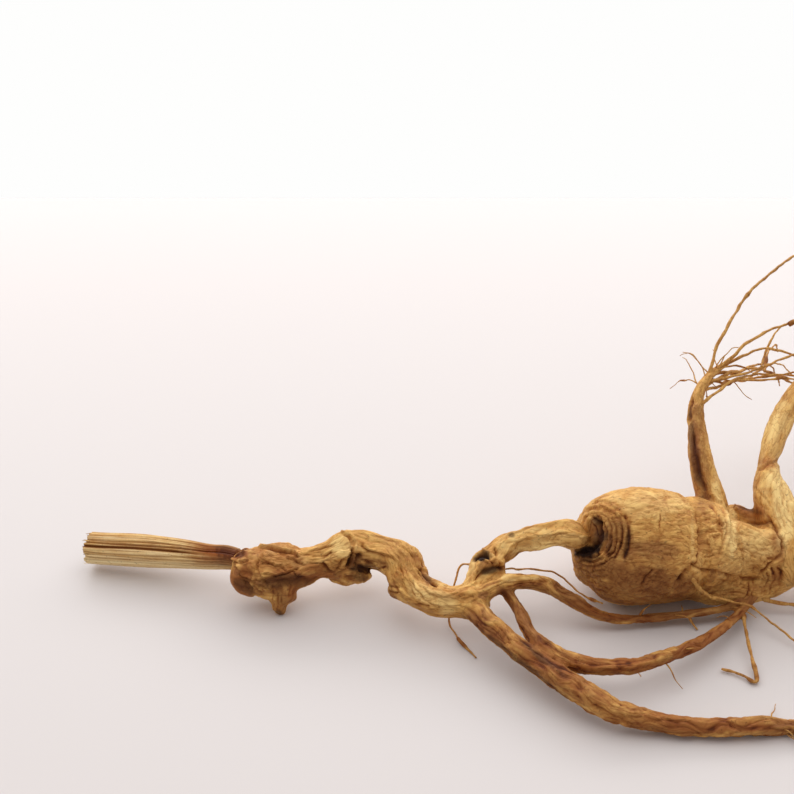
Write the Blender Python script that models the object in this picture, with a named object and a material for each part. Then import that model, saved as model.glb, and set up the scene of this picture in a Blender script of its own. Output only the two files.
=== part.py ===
# Dried ginseng root lying on its side: a swollen, ringed body with two raised legs and a
# tapering tail, a knotty rhizome with its winter bud, three slender side roots, thin
# rootlets, and the dry stub of the leaf stalk seated in the bud.
# Lengths in the tables are millimetres; +X runs from the stalk towards the tail.

import math
import random

import bmesh
import bpy
from mathutils import Vector, kdtree, noise

MM = 0.001

# Driving dimensions, in millimetres
BULB_RADIUS = 8.4          # the swollen body at its widest
NECK_RADIUS = 2.0          # the thin stretch between rhizome and body
RHIZOME_RADIUS = 2.9       # the knotty upper stem of the root
STALK_RADIUS = 2.4         # the dry stalk at its cut end
ROOTLET_RADIUS = 0.34      # a rootlet where it leaves its limb
TWIG_RADIUS = 0.28         # a side twig where it leaves its rootlet
TABLE_AIR = 0.2            # air between the rootlets and the table
SEAT_GAP = 0.3             # air between the stalk and the seat in the bud
RING_PITCH = 0.95          # spacing of the fine rings on the body's shoulder
RING_DEPTH = 0.2
REST_SINK = 0.25           # how much of the underside the rest flat takes away
FURROW_DEPTH = 0.2         # the stalk's parallel furrows
SPLIT_DEPTH = 0.5          # the one that nearly splits it
CUT_RAGGEDNESS = 0.35      # how far the stalk's cut end is torn in and out
PUCKER_RADIUS = 3.9        # the dish that the neck stands in
PUCKER_DEPTH = 1.2

# The box's centre in the table's own frame, whose zero is the body's lowest point
BOX_CENTRE = (-6.0, 7.6)

# Routes, as x, y, z and radius; radii of the three largest limbs are shares of the
# driving radii above, and all others are millimetres
BODY = (
    (-11.0, 0.3, 8.4, 0.14), (-10.5, 0.3, 8.4, 0.37), (-9.4, 0.3, 8.4, 0.60),
    (-7.6, 0.3, 8.4, 0.81), (-5.2, 0.3, 8.4, 0.95), (-2.2, 0.3, 8.4, 1.0),
    (2.0, 0.4, 8.1, 0.98), (5.0, 0.5, 8.0, 0.93), (7.6, 0.6, 8.1, 0.88),
    (9.6, 0.3, 8.0, 0.81), (11.6, 0.0, 7.9, 0.71), (13.4, 0.0, 8.1, 0.58),
    (15.4, -0.3, 8.1, 0.51), (17.6, -0.6, 7.7, 0.48), (20.4, -1.0, 7.0, 0.4),
)
TAIL = (
    (17.0, -0.6, 7.8, 3.2), (20.4, -1.0, 7.0, 3.7), (23.8, -1.0, 6.0, 3.3),
    (27.6, -0.9, 4.9, 2.6), (32.0, -0.5, 3.8, 2.0), (37.0, 0.6, 2.8, 1.5),
    (43.0, 2.6, 2.0, 1.1), (49.0, 5.0, 1.4, 0.82), (55.0, 7.6, 1.0, 0.6),
    (60.0, 9.4, 0.8, 0.42),
)
RHIZOME = (
    (-60.4, 0.2, 5.4, 0.5), (-58.4, -0.4, 5.3, 0.94), (-55.0, -1.6, 5.0, 1.3),
    (-51.6, -1.9, 5.1, 1.14), (-48.6, -1.6, 5.6, 0.92), (-46.0, -0.4, 6.2, 1.16),
    (-43.4, 1.0, 6.6, 1.26), (-41.2, 1.2, 7.0, 0.98), (-38.2, 0.2, 7.0, 0.95),
    (-35.6, -1.6, 6.5, 1.04), (-34.0, -4.2, 5.8, 1.0), (-32.0, -6.9, 5.3, 0.86),
    (-29.0, -8.2, 5.1, 0.8), (-26.0, -8.3, 5.2, 0.84), (-23.8, -9.6, 5.0, 0.6),
)
NECK = (
    (-27.4, -8.2, 5.2, 0.8), (-26.1, -7.1, 5.5, 0.95), (-24.8, -4.8, 6.6, 1.15),
    (-23.4, -2.6, 7.6, 1.3), (-21.8, -1.1, 8.6, 1.16), (-19.3, 0.3, 9.4, 1.0),
    (-15.8, -0.3, 10.6, 1.0), (-13.0, -0.8, 11.5, 1.03), (-11.1, -1.3, 11.6, 1.05),
    (-9.5, -1.7, 11.4, 1.05), (-8.2, -1.2, 10.8, 0.75), (-7.2, -0.4, 10.0, 0.35),
)
UPPER_ARM = (
    (-27.0, -8.6, 5.3, 1.5), (-23.9, -7.8, 6.5, 1.45), (-20.4, -6.4, 6.8, 1.35),
    (-16.0, -5.1, 6.3, 1.25), (-12.7, -4.9, 5.4, 1.15), (-10.2, -6.0, 4.6, 1.1),
    (-7.4, -7.4, 3.6, 1.05), (-1.7, -8.3, 2.5, 0.95), (5.5, -8.0, 2.3, 0.82),
    (10.7, -7.2, 2.3, 0.75), (14.0, -6.4, 2.6, 0.75), (15.8, -4.2, 3.2, 0.9),
)
MIDDLE_ARM = (
    (-22.8, -5.4, 6.4, 1.1), (-21.1, -7.8, 5.4, 1.25), (-19.6, -11.1, 4.9, 1.3),
    (-16.9, -15.3, 4.6, 1.35), (-13.2, -19.0, 4.3, 1.3), (-8.7, -20.4, 4.2, 1.15),
    (-2.5, -19.6, 4.0, 1.08), (3.6, -16.1, 3.5, 1.0), (8.8, -11.8, 2.9, 0.85),
    (12.4, -7.9, 2.4, 0.75), (14.0, -6.2, 2.6, 0.75), (15.6, -4.2, 3.2, 0.9),
)
LOWER_ARM = (
    (-27.2, -7.6, 5.1, 1.9), (-24.5, -10.4, 5.0, 1.85), (-21.6, -14.3, 4.8, 1.72),
    (-18.6, -18.7, 4.4, 1.75), (-15.2, -23.0, 3.8, 1.71), (-11.3, -25.7, 3.2, 1.69),
    (-7.0, -27.6, 2.5, 1.61), (-1.2, -28.4, 1.5, 1.42), (4.5, -29.0, 1.1, 1.22),
    (10.3, -28.9, 1.05, 1.12), (14.8, -28.7, 1.1, 1.03), (21.0, -28.0, 1.1, 0.92),
    (28.0, -26.4, 1.0, 0.8), (35.0, -24.2, 0.9, 0.66), (41.0, -22.6, 0.8, 0.5),
)
UNDER_LOBE = (
    (3.0, -4.2, 5.0, 1.2), (6.3, -3.3, 3.9, 2.2), (8.8, -2.8, 3.3, 2.6),
    (11.5, -2.8, 3.1, 2.6), (14.1, -2.8, 3.2, 2.45), (16.6, -2.5, 3.6, 2.5),
    (18.8, -2.2, 4.2, 2.4), (21.4, -1.7, 5.0, 1.9),
)
LEFT_LEG = (
    (11.0, 2.0, 7.6, 2.7), (10.5, 6.1, 11.3, 2.3), (9.6, 9.3, 14.0, 2.05),
    (9.1, 12.3, 16.5, 1.8), (9.2, 16.0, 18.6, 1.5), (9.4, 18.8, 20.5, 1.25),
    (10.4, 21.7, 22.2, 1.0), (12.6, 24.6, 23.6, 0.75), (15.8, 27.2, 24.4, 0.5),
)
RIGHT_LEG = (
    (20.6, -1.4, 7.2, 3.7), (20.4, 1.6, 9.5, 3.5), (19.3, 4.9, 12.0, 3.1),
    (18.9, 7.8, 14.0, 2.5), (19.3, 10.6, 15.2, 1.75), (19.6, 12.2, 15.9, 1.6),
    (20.4, 14.9, 17.0, 1.95), (21.2, 17.6, 18.2, 2.1), (22.7, 20.5, 19.7, 2.05),
    (25.0, 23.4, 21.2, 1.85), (28.2, 26.8, 22.6, 1.6), (32.2, 30.4, 23.4, 1.3),
    (37.0, 34.0, 23.2, 1.0), (42.0, 37.0, 22.0, 0.7),
)
BRIDGE = (
    (12.1, 5.4, 8.0, 1.8), (14.0, 7.0, 9.1, 1.75), (16.0, 6.0, 9.1, 1.8),
    (18.0, 4.4, 8.9, 1.9), (20.2, 2.6, 8.6, 1.9),
)
STALK = (
    (-83.4, 6.6, 3.3, 1.02), (-80.9, 6.2, 3.4, 1.03), (-74.8, 5.2, 3.8, 1.06),
    (-68.8, 3.7, 4.4, 0.94), (-64.4, 2.3, 4.9, 0.8), (-61.5, 1.3, 5.3, 0.7),
    (-59.6, 0.6, 5.6, 0.64),
)

# Small lumps of the bud and the knots, as centre, half sizes and turn in degrees
LUMPS = (
    ((-56.6, -1.0, 5.6), (3.6, 3.0, 2.9), (0, 0, 12)),      # the bud's middle
    ((-53.0, -0.2, 7.3), (3.7, 2.2, 1.4), (0, 8, -6)),      # upper scale
    ((-57.8, -2.0, 3.9), (2.8, 2.5, 2.5), (0, 28, 0)),      # lower left scale
    ((-53.0, -3.8, 3.2), (2.5, 2.0, 2.6), (0, 0, 0)),       # shoulder of the small bud
    ((-53.4, -5.0, 1.5), (1.3, 1.2, 1.75), (12, 0, 0)),     # its pointed tip
    ((-45.2, 1.0, 7.4), (2.7, 2.4, 2.3), (0, -35, 0)),      # first knot
    ((-43.6, -1.0, 4.4), (3.6, 1.9, 1.7), (0, 6, 0)),       # its ragged lower lip
    ((-34.0, -1.8, 8.0), (2.1, 1.7, 1.5), (0, 20, 0)),      # second knot
    ((-32.6, -4.0, 6.9), (1.6, 1.4, 1.3), (0, 40, 0)),      # the notched scar below it
    ((-35.9, -4.6, 5.2), (1.9, 1.7, 2.1), (0, 20, 0)),      # jagged heel of the bend
    ((-22.3, -3.2, 8.2), (2.2, 2.0, 2.2), (0, 20, 0)),      # collar of the neck
)
LARGE_LUMPS = 1            # how many of them, from the first, have finer balls
LUMP_UNEVENNESS = 0.3      # how far noise swells or shrinks a ball, as a share of its size

# Where the neck enters the shoulder, and the way that the dish round it faces
PUCKER = (-8.8, -2.9, 12.5)
PUCKER_FACING = (-0.67, -0.5, 0.58)

# Old stem scars and pits, as centre and radius of a ball taken away
PITS = (
    ((-43.4, -2.9, 7.0), 1.3),
    ((-24.4, -4.4, 9.9), 1.2),
    ((-32.0, -2.6, 9.4), 1.0),
    ((5.1, -7.5, 7.6), 0.8),
)

# Single rootlets placed by hand, each a route and a radius at its base
THIN_ROOTLETS = (
    ("knotted", 0.42, ((13.2, -6.6, 2.3), (12.8, -10.3, 2.0), (12.7, -14.3, 1.4),
                       (12.6, -17.9, 0.7), (12.3, -19.8, 0.5), (11.1, -18.6, 0.45),
                       (9.7, -17.5, 0.45), (8.3, -16.9, 0.45))),
    ("hugging", 0.4, ((4.8, -4.2, 9.4), (4.8, -7.0, 9.3), (5.9, -7.3, 7.2),
                      (8.2, -6.8, 4.9), (11.4, -6.4, 3.5), (14.2, -6.6, 2.8),
                      (16.9, -8.8, 2.0), (19.6, -11.6, 0.9), (23.4, -16.1, 0.5))),
    ("front", 0.42, ((15.2, -3.1, 4.5), (16.4, -4.1, 3.0), (17.7, -5.0, 2.3),
                     (21.3, -5.1, 1.6), (25.1, -5.4, 1.1), (28.9, -7.6, 0.7),
                     (33.4, -7.4, 0.45))),
    ("behind_neck", 0.3, ((-25.6, -2.8, 7.5), (-27.0, -1.3, 6.0), (-28.0, -3.1, 4.0),
                          (-28.8, -7.1, 1.2), (-28.0, -10.1, 0.6), (-25.4, -14.6, 0.4))),
    ("under_bulb", 0.3, ((-21.6, -3.5, 7.0), (-18.4, -1.1, 5.5), (-14.4, 0.7, 3.5),
                         (-11.2, 0.6, 1.6), (-9.3, -1.4, 0.8), (-6.3, -3.6, 0.9))),
    ("arm_twig", 0.3, ((5.4, -7.7, 2.0), (6.0, -7.9, 1.0), (6.8, -8.8, 0.4))),
)

# Beards of rootlets: limb, first share of its length, count, heading, length, seed.
# Each rootlet strays from the heading, and each twig from its rootlet, by a random share.
BEARD_STRAY = 0.42
TWIG_STRAY = 0.7
TWIG_LENGTH = 0.45         # as a share of its rootlet's length
BEARDS = (
    ("left_leg", 0.72, 8, (0.80, 0.50, 0.30), 34.0, 11),
    ("right_leg", 0.62, 8, (0.82, 0.45, -0.05), 30.0, 23),
    ("tail", 0.5, 7, (0.90, 0.10, -0.10), 22.0, 37),
    ("lower_arm", 0.72, 5, (0.92, 0.10, 0.0), 22.0, 41),
)

# Mesh fineness: sides round a tube, and spacing of its rings in millimetres
BODY_SIDES = 24
STEM_SIDES = 14
LEG_SIDES = 10
ARM_SIDES = 8
ROOTLET_SIDES = 4
STALK_SIDES = 24
SEAT_SIDES = 16
SHOULDER_STEP = 0.38
BODY_STEP = 1.15
STEM_STEP = 1.7
ARM_STEP = 2.5
ROOTLET_STEP = 6.0
STALK_STEP = 1.1


def clear_scene():
    for old in list(bpy.context.scene.objects):
        bpy.data.objects.remove(old, do_unlink=True)


def new_collection(name):
    group = bpy.data.collections.new(name)
    bpy.context.scene.collection.children.link(group)
    return group


def make_material(name, colour, roughness):
    material = bpy.data.materials.new(name)
    material.use_nodes = True
    shader = material.node_tree.nodes["Principled BSDF"]
    shader.inputs["Base Color"].default_value = (*colour, 1.0)
    shader.inputs["Roughness"].default_value = roughness
    shader.inputs["Metallic"].default_value = 0.0
    material.diffuse_color = (*colour, 1.0)
    return material


def scaled(points, unit):
    """The same route with its radii turned from shares of unit to millimetres."""
    return [(x, y, z, share * unit) for x, y, z, share in points]


def tapered(points, base, tip_share=0.6):
    """A route without radii gets a radius that falls evenly from base to its tip."""
    last = len(points) - 1
    return [(*p, base * (1 - (1 - tip_share) * i / last)) for i, p in enumerate(points)]


def smooth_route(points, step, fine_step=None, fine_until=0):
    """Catmull-Rom curve through x, y, z, radius points, read about every step.

    The spans before the point fine_until are read every fine_step instead."""
    points = [Vector(p) for p in points]
    ends = [2 * points[0] - points[1]] + points + [2 * points[-1] - points[-2]]
    samples = []
    spans = zip(ends, ends[1:], ends[2:], ends[3:])
    for index, (before, start, stop, after) in enumerate(spans):
        spacing = fine_step if index < fine_until else step
        count = max(1, round((stop.xyz - start.xyz).length / spacing))
        for i in range(count):
            t = i / count
            samples.append(0.5 * (2 * start + (stop - before) * t
                                  + (2 * before - 5 * start + 4 * stop - after) * t * t
                                  + (3 * start - before - 3 * stop + after) * t ** 3))
    samples.append(points[-1])
    return samples


def mesh_object(name, mesh, group):
    made = bpy.data.objects.new(name, mesh)
    group.objects.link(made)
    return made


def tube(name, samples, sides, group):
    """A limb: a round tube along the samples, with closed ends, as a mesh."""
    data = bpy.data.curves.new(name, "CURVE")
    data.dimensions = "3D"
    data.bevel_depth = MM
    data.bevel_resolution = (sides - 4) // 2
    data.use_fill_caps = True
    spline = data.splines.new("POLY")
    spline.points.add(len(samples) - 1)
    for point, sample in zip(spline.points, samples):
        point.co = (*(sample.xyz * MM), 1.0)
        point.radius = sample.w
    guide = mesh_object(name + "_guide", data, group)
    bpy.context.view_layer.update()
    depsgraph = bpy.context.evaluated_depsgraph_get()
    mesh = bpy.data.meshes.new_from_object(guide.evaluated_get(depsgraph))
    weld(mesh)
    limb = mesh_object(name, mesh, group)
    limb.matrix_world = guide.matrix_world
    bpy.data.objects.remove(guide, do_unlink=True)
    return limb


def weld(mesh):
    work = bmesh.new()
    work.from_mesh(mesh)
    bmesh.ops.remove_doubles(work, verts=work.verts, dist=1e-6)
    bmesh.ops.recalc_face_normals(work, faces=work.faces)
    work.to_mesh(mesh)
    work.free()


def limb_frames(samples, up):
    """For each sample its distance along the limb, tangent and two cross directions."""
    frames = []
    travelled = 0.0
    for i, sample in enumerate(samples):
        before = samples[max(i - 1, 0)].xyz
        after = samples[min(i + 1, len(samples) - 1)].xyz
        tangent = (after - before).normalized()
        side = tangent.cross(up).normalized()
        travelled += (sample.xyz - before).length
        frames.append((travelled, tangent, side, side.cross(tangent)))
    return frames


def raise_relief(limb, samples, formula, up=Vector((0, 0, 1))):
    """Moves each vertex out from the limb's axis by formula(distance, angle)."""
    finder = kdtree.KDTree(len(samples))
    for i, sample in enumerate(samples):
        finder.insert(sample.xyz, i)
    finder.balance()
    frames = limb_frames(samples, up)
    for vertex in limb.data.vertices:
        place = vertex.co / MM
        _, i, _ = finder.find(place)
        travelled, tangent, side, top = frames[i]
        spoke = place - samples[i].xyz
        spoke -= tangent * spoke.dot(tangent)
        if spoke.length < 1e-4:
            continue
        angle = math.atan2(spoke.dot(side), spoke.dot(top))
        vertex.co += spoke.normalized() * formula(travelled, angle) * MM


def bump(value, centre, width):
    """A smooth hill of height 1 at centre, falling to nothing over its width."""
    return math.exp(-((value - centre) / width) ** 2)


def body_relief(s, angle):
    """Fine rings on the shoulder, deep creases behind it, a few lobes and furrows."""
    shoulder = bump(s, 6.2, 2.3)
    rings = -RING_DEPTH * shoulder * (1 + math.cos(2 * math.pi * s / RING_PITCH))
    waist = -1.0 * bump(s, 17.4 + 0.5 * math.sin(angle), 0.8)
    ridge = 0.4 * bump(s, 20.6 + 0.4 * math.cos(angle), 0.9)
    second = -0.6 * bump(s, 22.6 + 0.6 * math.sin(angle + 0.6), 0.8)
    third = -0.5 * bump(s, 26.4, 0.8)
    lobes = 0.26 * math.sin(3 * angle + 0.25 * s) + 0.16 * math.sin(5 * angle + 1.0)
    return rings + waist + ridge + second + third + lobes


def rhizome_relief(s, angle):
    """Lengthwise fibres and an uneven, knotty swell."""
    fibres = 0.16 * math.sin(6 * angle + 0.15 * s) + 0.1 * math.sin(3 * angle + 0.5 * s)
    return fibres + 0.12 * math.sin(1.3 * s)


def arm_relief(s, angle):
    """Shallow lengthwise grooves that turn slowly round a slender root."""
    return 0.09 * math.sin(4 * angle + 0.2 * s) + 0.05 * math.sin(1.1 * s)


def leg_relief(s, angle):
    """A shrunken leg: one deep lengthwise groove and soft ridges beside it."""
    groove = -0.55 * bump(math.sin((angle - 0.5) / 2), 0.0, 0.2)
    fade = 1.0 if s < 22 else max(0.0, 1 - (s - 22) / 8)
    return (groove + 0.12 * math.sin(5 * angle)) * fade


def stalk_relief(s, angle):
    """Parallel furrows of the dry stalk; a deeper one, seen in front, nearly splits it."""
    furrows = -FURROW_DEPTH * (1 + math.cos(9 * angle))
    split = -SPLIT_DEPTH * bump(math.sin((angle - math.pi / 4) / 2), 0.0, 0.12)
    return (furrows + split) * min(1.0, (26 - s) / 8)


def sink_pucker(body):
    """Presses a round dish into the shoulder where the neck enters, against its facing."""
    inward = -PUCKER_DEPTH * Vector(PUCKER_FACING).normalized()
    for vertex in body.data.vertices:
        far = (vertex.co / MM - Vector(PUCKER)).length
        share = min(1.0, max(0.0, (PUCKER_RADIUS - far) / (PUCKER_RADIUS - 1.0)))
        vertex.co += inward * share * share * (3 - 2 * share) * MM


def lump(index, centre, half_sizes, turn, group):
    """A lumpy ball of the bud or of a knot."""
    work = bmesh.new()
    fineness = 3 if index < LARGE_LUMPS else 2
    bmesh.ops.create_icosphere(work, subdivisions=fineness, radius=1.0)
    for vertex in work.verts:
        wrinkle = noise.noise(vertex.co * 1.7 + Vector((index * 7.3, 0, 0)))
        vertex.co *= 1 + LUMP_UNEVENNESS * wrinkle
    mesh = bpy.data.meshes.new("lump_%d" % index)
    work.to_mesh(mesh)
    work.free()
    ball = mesh_object(mesh.name, mesh, group)
    ball.scale = Vector(half_sizes) * MM
    ball.rotation_euler = [math.radians(a) for a in turn]
    ball.location = Vector(centre) * MM
    return ball


def rootlet_points(rng, start, heading, length):
    """A kinked rootlet: it leaves along heading, sags, and never goes below the table."""
    count = max(4, round(length / ROOTLET_STEP))
    sag = rng.uniform(0.25, 0.75)
    swing = [rng.uniform(-1, 1) for _ in range(4)]
    across = heading.cross(Vector((0, 0, 1))).normalized()
    points = []
    for i in range(count + 1):
        t = i / count
        sideways = 0.16 * length * (swing[0] * t * t + 0.35 * swing[1] * math.sin(5 * t))
        upward = 0.06 * length * swing[2] * (math.sin(6 * t + swing[3]) - math.sin(swing[3]))
        place = start + heading * length * t + across * sideways
        place.z += upward - sag * length * t * t
        place.z = max(place.z, ROOTLET_RADIUS + TABLE_AIR)
        points.append(tuple(place))
    return points


def make_beard(name, samples, first, count, heading, length, seed, group):
    """Rootlets that leave the last stretch of a limb, each with a side twig."""
    rng = random.Random(seed)
    last = len(samples) - 2
    for k in range(count):
        share = first + (1 - first) * k / (count - 1)
        start = samples[round(share * last)].xyz
        spread = Vector([rng.uniform(-BEARD_STRAY, BEARD_STRAY) for _ in range(3)])
        course = (Vector(heading) + spread).normalized()
        reach = length * rng.uniform(0.65, 1.0)
        points = rootlet_points(rng, start, course, reach)
        route = [Vector(p) for p in tapered(points, ROOTLET_RADIUS)]
        tube("%s_rootlet_%d" % (name, k), route, ROOTLET_SIDES, group)
        if k % 2:
            continue
        turn = Vector([rng.uniform(-TWIG_STRAY, TWIG_STRAY) for _ in range(3)])
        middle = len(route) // 2
        fork = (route[middle - 1].xyz + route[middle].xyz) / 2
        twig = rootlet_points(rng, fork, (course + turn).normalized(), reach * TWIG_LENGTH)
        tube("%s_twig_%d" % (name, k), [Vector(p) for p in tapered(twig, TWIG_RADIUS)],
             ROOTLET_SIDES, group)


def make_limbs(group):
    """Every limb of the root as its own tube with its relief; returns their samples."""
    upward = Vector((0, 0, 1))
    forward = Vector((0, -1, 0))
    plans = (
        ("rhizome", scaled(RHIZOME, RHIZOME_RADIUS), STEM_STEP, STEM_SIDES, rhizome_relief, upward),
        ("neck", scaled(NECK, NECK_RADIUS), STEM_STEP, STEM_SIDES, rhizome_relief, upward),
        ("upper_arm", UPPER_ARM, ARM_STEP, ARM_SIDES, arm_relief, upward),
        ("middle_arm", MIDDLE_ARM, ARM_STEP, ARM_SIDES, arm_relief, upward),
        ("lower_arm", LOWER_ARM, ARM_STEP, ARM_SIDES, arm_relief, upward),
        ("under_lobe", UNDER_LOBE, ARM_STEP, ARM_SIDES, arm_relief, upward),
        ("bridge", BRIDGE, ARM_STEP, ARM_SIDES, arm_relief, upward),
        ("tail", TAIL, ARM_STEP, LEG_SIDES, arm_relief, upward),
        ("left_leg", LEFT_LEG, ARM_STEP, LEG_SIDES, leg_relief, forward),
        ("right_leg", RIGHT_LEG, ARM_STEP, LEG_SIDES, leg_relief, forward),
    )
    routes = {}
    for name, points, step, sides, relief, up in plans:
        routes[name] = smooth_route(points, step)
        limb = tube(name, routes[name], sides, group)
        raise_relief(limb, routes[name], relief, up)
    samples = smooth_route(scaled(BODY, BULB_RADIUS), BODY_STEP, SHOULDER_STEP, 5)
    for sample in samples:
        sample.z -= REST_SINK
    body = tube("body", samples, BODY_SIDES, group)
    raise_relief(body, samples, body_relief, upward)
    sink_pucker(body)
    return routes


def join_all(name, group):
    """One closed skin round everything in the group, whose objects then go."""
    pieces = list(group.objects)
    first = pieces[0]
    group.objects.unlink(first)
    bpy.context.scene.collection.objects.link(first)
    union = first.modifiers.new("grown_together", "BOOLEAN")
    union.operation = "UNION"
    union.operand_type = "COLLECTION"
    union.collection = group
    union.solver = "MANIFOLD"
    bpy.context.view_layer.update()
    depsgraph = bpy.context.evaluated_depsgraph_get()
    mesh = bpy.data.meshes.new_from_object(first.evaluated_get(depsgraph))
    mesh.name = name
    for piece in pieces:
        bpy.data.objects.remove(piece, do_unlink=True)
    bpy.data.collections.remove(group)
    return mesh


def make_root(group):
    """The whole grown root as one mesh."""
    pieces = new_collection("grown_pieces")
    routes = make_limbs(pieces)
    for index, (centre, half_sizes, turn) in enumerate(LUMPS):
        lump(index, centre, half_sizes, turn, pieces)
    for name, base, points in THIN_ROOTLETS:
        samples = smooth_route(tapered(points, base), ARM_STEP)
        tube(name, samples, ROOTLET_SIDES, pieces)
    for name, first, count, heading, length, seed in BEARDS:
        make_beard(name, routes[name], first, count, heading, length, seed, pieces)
    return mesh_object("ginseng_root", join_all("ginseng_root", pieces), group)


def make_stalk(group):
    """The dry stalk: a grooved tube, ragged at its cut end."""
    samples = smooth_route(scaled(STALK, STALK_RADIUS), STALK_STEP)
    stalk = tube("stem_stub", samples, STALK_SIDES, group)
    raise_relief(stalk, samples, stalk_relief)
    cut = samples[0].x + 0.3
    for vertex in stalk.data.vertices:
        place = vertex.co / MM
        if place.x < cut:
            vertex.co.x += CUT_RAGGEDNESS * math.sin(3.1 * place.z + 2.3 * place.y) * MM
    return stalk


def make_cutters(group):
    """The table plane, the stalk's seat in the bud, and the scars."""
    work = bmesh.new()
    bmesh.ops.create_cube(work, size=1.0)
    bmesh.ops.scale(work, vec=(0.4, 0.4, 0.02), verts=work.verts)
    bmesh.ops.translate(work, vec=(0, 0, -0.01), verts=work.verts)
    slab = bpy.data.meshes.new("table_plane")
    work.to_mesh(slab)
    work.free()
    mesh_object("table_plane", slab, group)
    seat = smooth_route(scaled(STALK, STALK_RADIUS + SEAT_GAP), STALK_STEP)
    ahead = (seat[-1].xyz - seat[-2].xyz).normalized() * SEAT_GAP
    seat.append(Vector((*(seat[-1].xyz + ahead), seat[-1].w)))
    tube("stalk_seat", seat, SEAT_SIDES, group)
    for index, (centre, radius) in enumerate(PITS):
        work = bmesh.new()
        bmesh.ops.create_icosphere(work, subdivisions=2, radius=radius * MM)
        bmesh.ops.translate(work, vec=Vector(centre) * MM, verts=work.verts)
        pit = bpy.data.meshes.new("pit_%d" % index)
        work.to_mesh(pit)
        work.free()
        mesh_object(pit.name, pit, group)
    for cutter in group.objects:
        cutter.hide_render = True
        cutter.display_type = "WIRE"


def place(objects):
    """Moves the model so that its zero is under the middle of its box."""
    for piece in objects:
        for vertex in piece.data.vertices:
            vertex.co.x -= BOX_CENTRE[0] * MM
            vertex.co.y -= BOX_CENTRE[1] * MM


def finish_surface(piece, material):
    piece.data.materials.clear()
    piece.data.materials.append(material)
    piece.data.shade_smooth()


def main():
    clear_scene()
    model = new_collection("dried_ginseng_root")
    cutters = new_collection("cutters")
    root = make_root(model)
    stalk = make_stalk(model)
    make_cutters(cutters)
    carve = root.modifiers.new("rest_seat_and_scars", "BOOLEAN")
    carve.operation = "DIFFERENCE"
    carve.operand_type = "COLLECTION"
    carve.collection = cutters
    carve.solver = "MANIFOLD"
    place([root, stalk] + list(cutters.objects))
    finish_surface(root, make_material("dried_root_skin", (0.55, 0.36, 0.17), 0.75))
    finish_surface(stalk, make_material("dry_stalk", (0.66, 0.47, 0.25), 0.7))


main()
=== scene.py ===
import math
import random

import bpy
import numpy as np
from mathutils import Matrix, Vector


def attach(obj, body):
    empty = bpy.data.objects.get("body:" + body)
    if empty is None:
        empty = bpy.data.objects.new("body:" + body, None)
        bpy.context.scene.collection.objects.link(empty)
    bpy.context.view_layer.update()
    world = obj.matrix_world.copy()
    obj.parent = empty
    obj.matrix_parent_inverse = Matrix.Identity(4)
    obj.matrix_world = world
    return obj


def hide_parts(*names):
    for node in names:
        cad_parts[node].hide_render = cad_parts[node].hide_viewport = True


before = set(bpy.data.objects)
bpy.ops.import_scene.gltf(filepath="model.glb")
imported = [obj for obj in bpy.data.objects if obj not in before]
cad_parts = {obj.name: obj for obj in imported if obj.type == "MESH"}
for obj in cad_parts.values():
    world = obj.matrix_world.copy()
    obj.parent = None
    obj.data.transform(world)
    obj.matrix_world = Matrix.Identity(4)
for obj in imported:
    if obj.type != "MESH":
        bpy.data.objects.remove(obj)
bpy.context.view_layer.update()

mm = 0.001
tableShift = np.array([6.0, -7.6, 0.0])     # from the tables' zero to the middle of the CAD box
upward, forward = (0, 0, 1), (0, -1, 0)

camera = {
    "place": (-30.45, -141.01, 110.99),
    "elevation": 35.0,
    "halfField": 19.0,
    "sensor": 36.0,
    "shiftUp": 99 / 794,                     # the photograph's frame is cut off-centre
    "frame": 794,
    "nearest": 0.005,
}


def unitRows(vectors):
    return vectors / np.linalg.norm(vectors, axis=-1, keepdims=True)


def followRoute(points, spacing, up=(0, 0, 1), unit=1.0, sink=0.0):
    # Catmull-Rom: every span is the cubic that leaves its first point along half the chord
    # of that point's neighbours, and reaches the next one in the same way
    route = np.array(points, float)
    route[:, 3] *= unit
    route[:, 2] -= sink
    ends = np.vstack([2 * route[0] - route[1], route, 2 * route[-1] - route[-2]])
    chords = np.linalg.norm(np.diff(route[:, :3], axis=0), axis=1)
    counts = np.maximum(1, np.round(chords / spacing)).astype(int)
    span = np.repeat(np.arange(len(counts)), counts)
    firsts = np.cumsum(counts) - counts
    t = ((np.arange(counts.sum()) - firsts[span]) / counts[span])[:, None]
    before, start, stop, after = (ends[span + k] for k in range(4))
    curve = 0.5 * (2 * start + (stop - before) * t
                   + (2 * before - 5 * start + 4 * stop - after) * t ** 2
                   + (3 * start - before - 3 * stop + after) * t ** 3)
    curve = np.vstack([curve, route[-1]])
    centre = curve[:, :3] + tableShift
    tangent = unitRows(np.gradient(centre, axis=0))
    side = unitRows(np.cross(tangent, up))
    steps = np.linalg.norm(np.diff(centre, axis=0), axis=1)
    return {
        "centre": centre, "radius": curve[:, 3], "tangent": tangent, "side": side,
        "top": np.cross(side, tangent), "along": np.concatenate([[0.0], np.cumsum(steps)]),
    }


def sweep(limb, sides, relief=None):
    # point(s, a) = centre(s) + (radius(s) + relief(s, a)) * (cos a * top + sin a * side)
    angle = np.linspace(0, 2 * np.pi, sides, endpoint=False)
    spoke = (np.cos(angle)[None, :, None] * limb["top"][:, None]
             + np.sin(angle)[None, :, None] * limb["side"][:, None])
    reach = np.repeat(limb["radius"][:, None], sides, axis=1)
    if relief is not None:
        reach = reach + relief(limb["along"][:, None], angle[None, :])
    return limb["centre"][:, None] + reach[..., None] * spoke


noiseSide = 64                               # the random numbers repeat after this many steps
seedShift = 11.7                             # each seed reads them from another place
layerReach = 1.6                             # about how far summed layers of it reach
noiseTable = np.random.default_rng(5).uniform(-1, 1, (noiseSide,) * 3)


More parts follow.
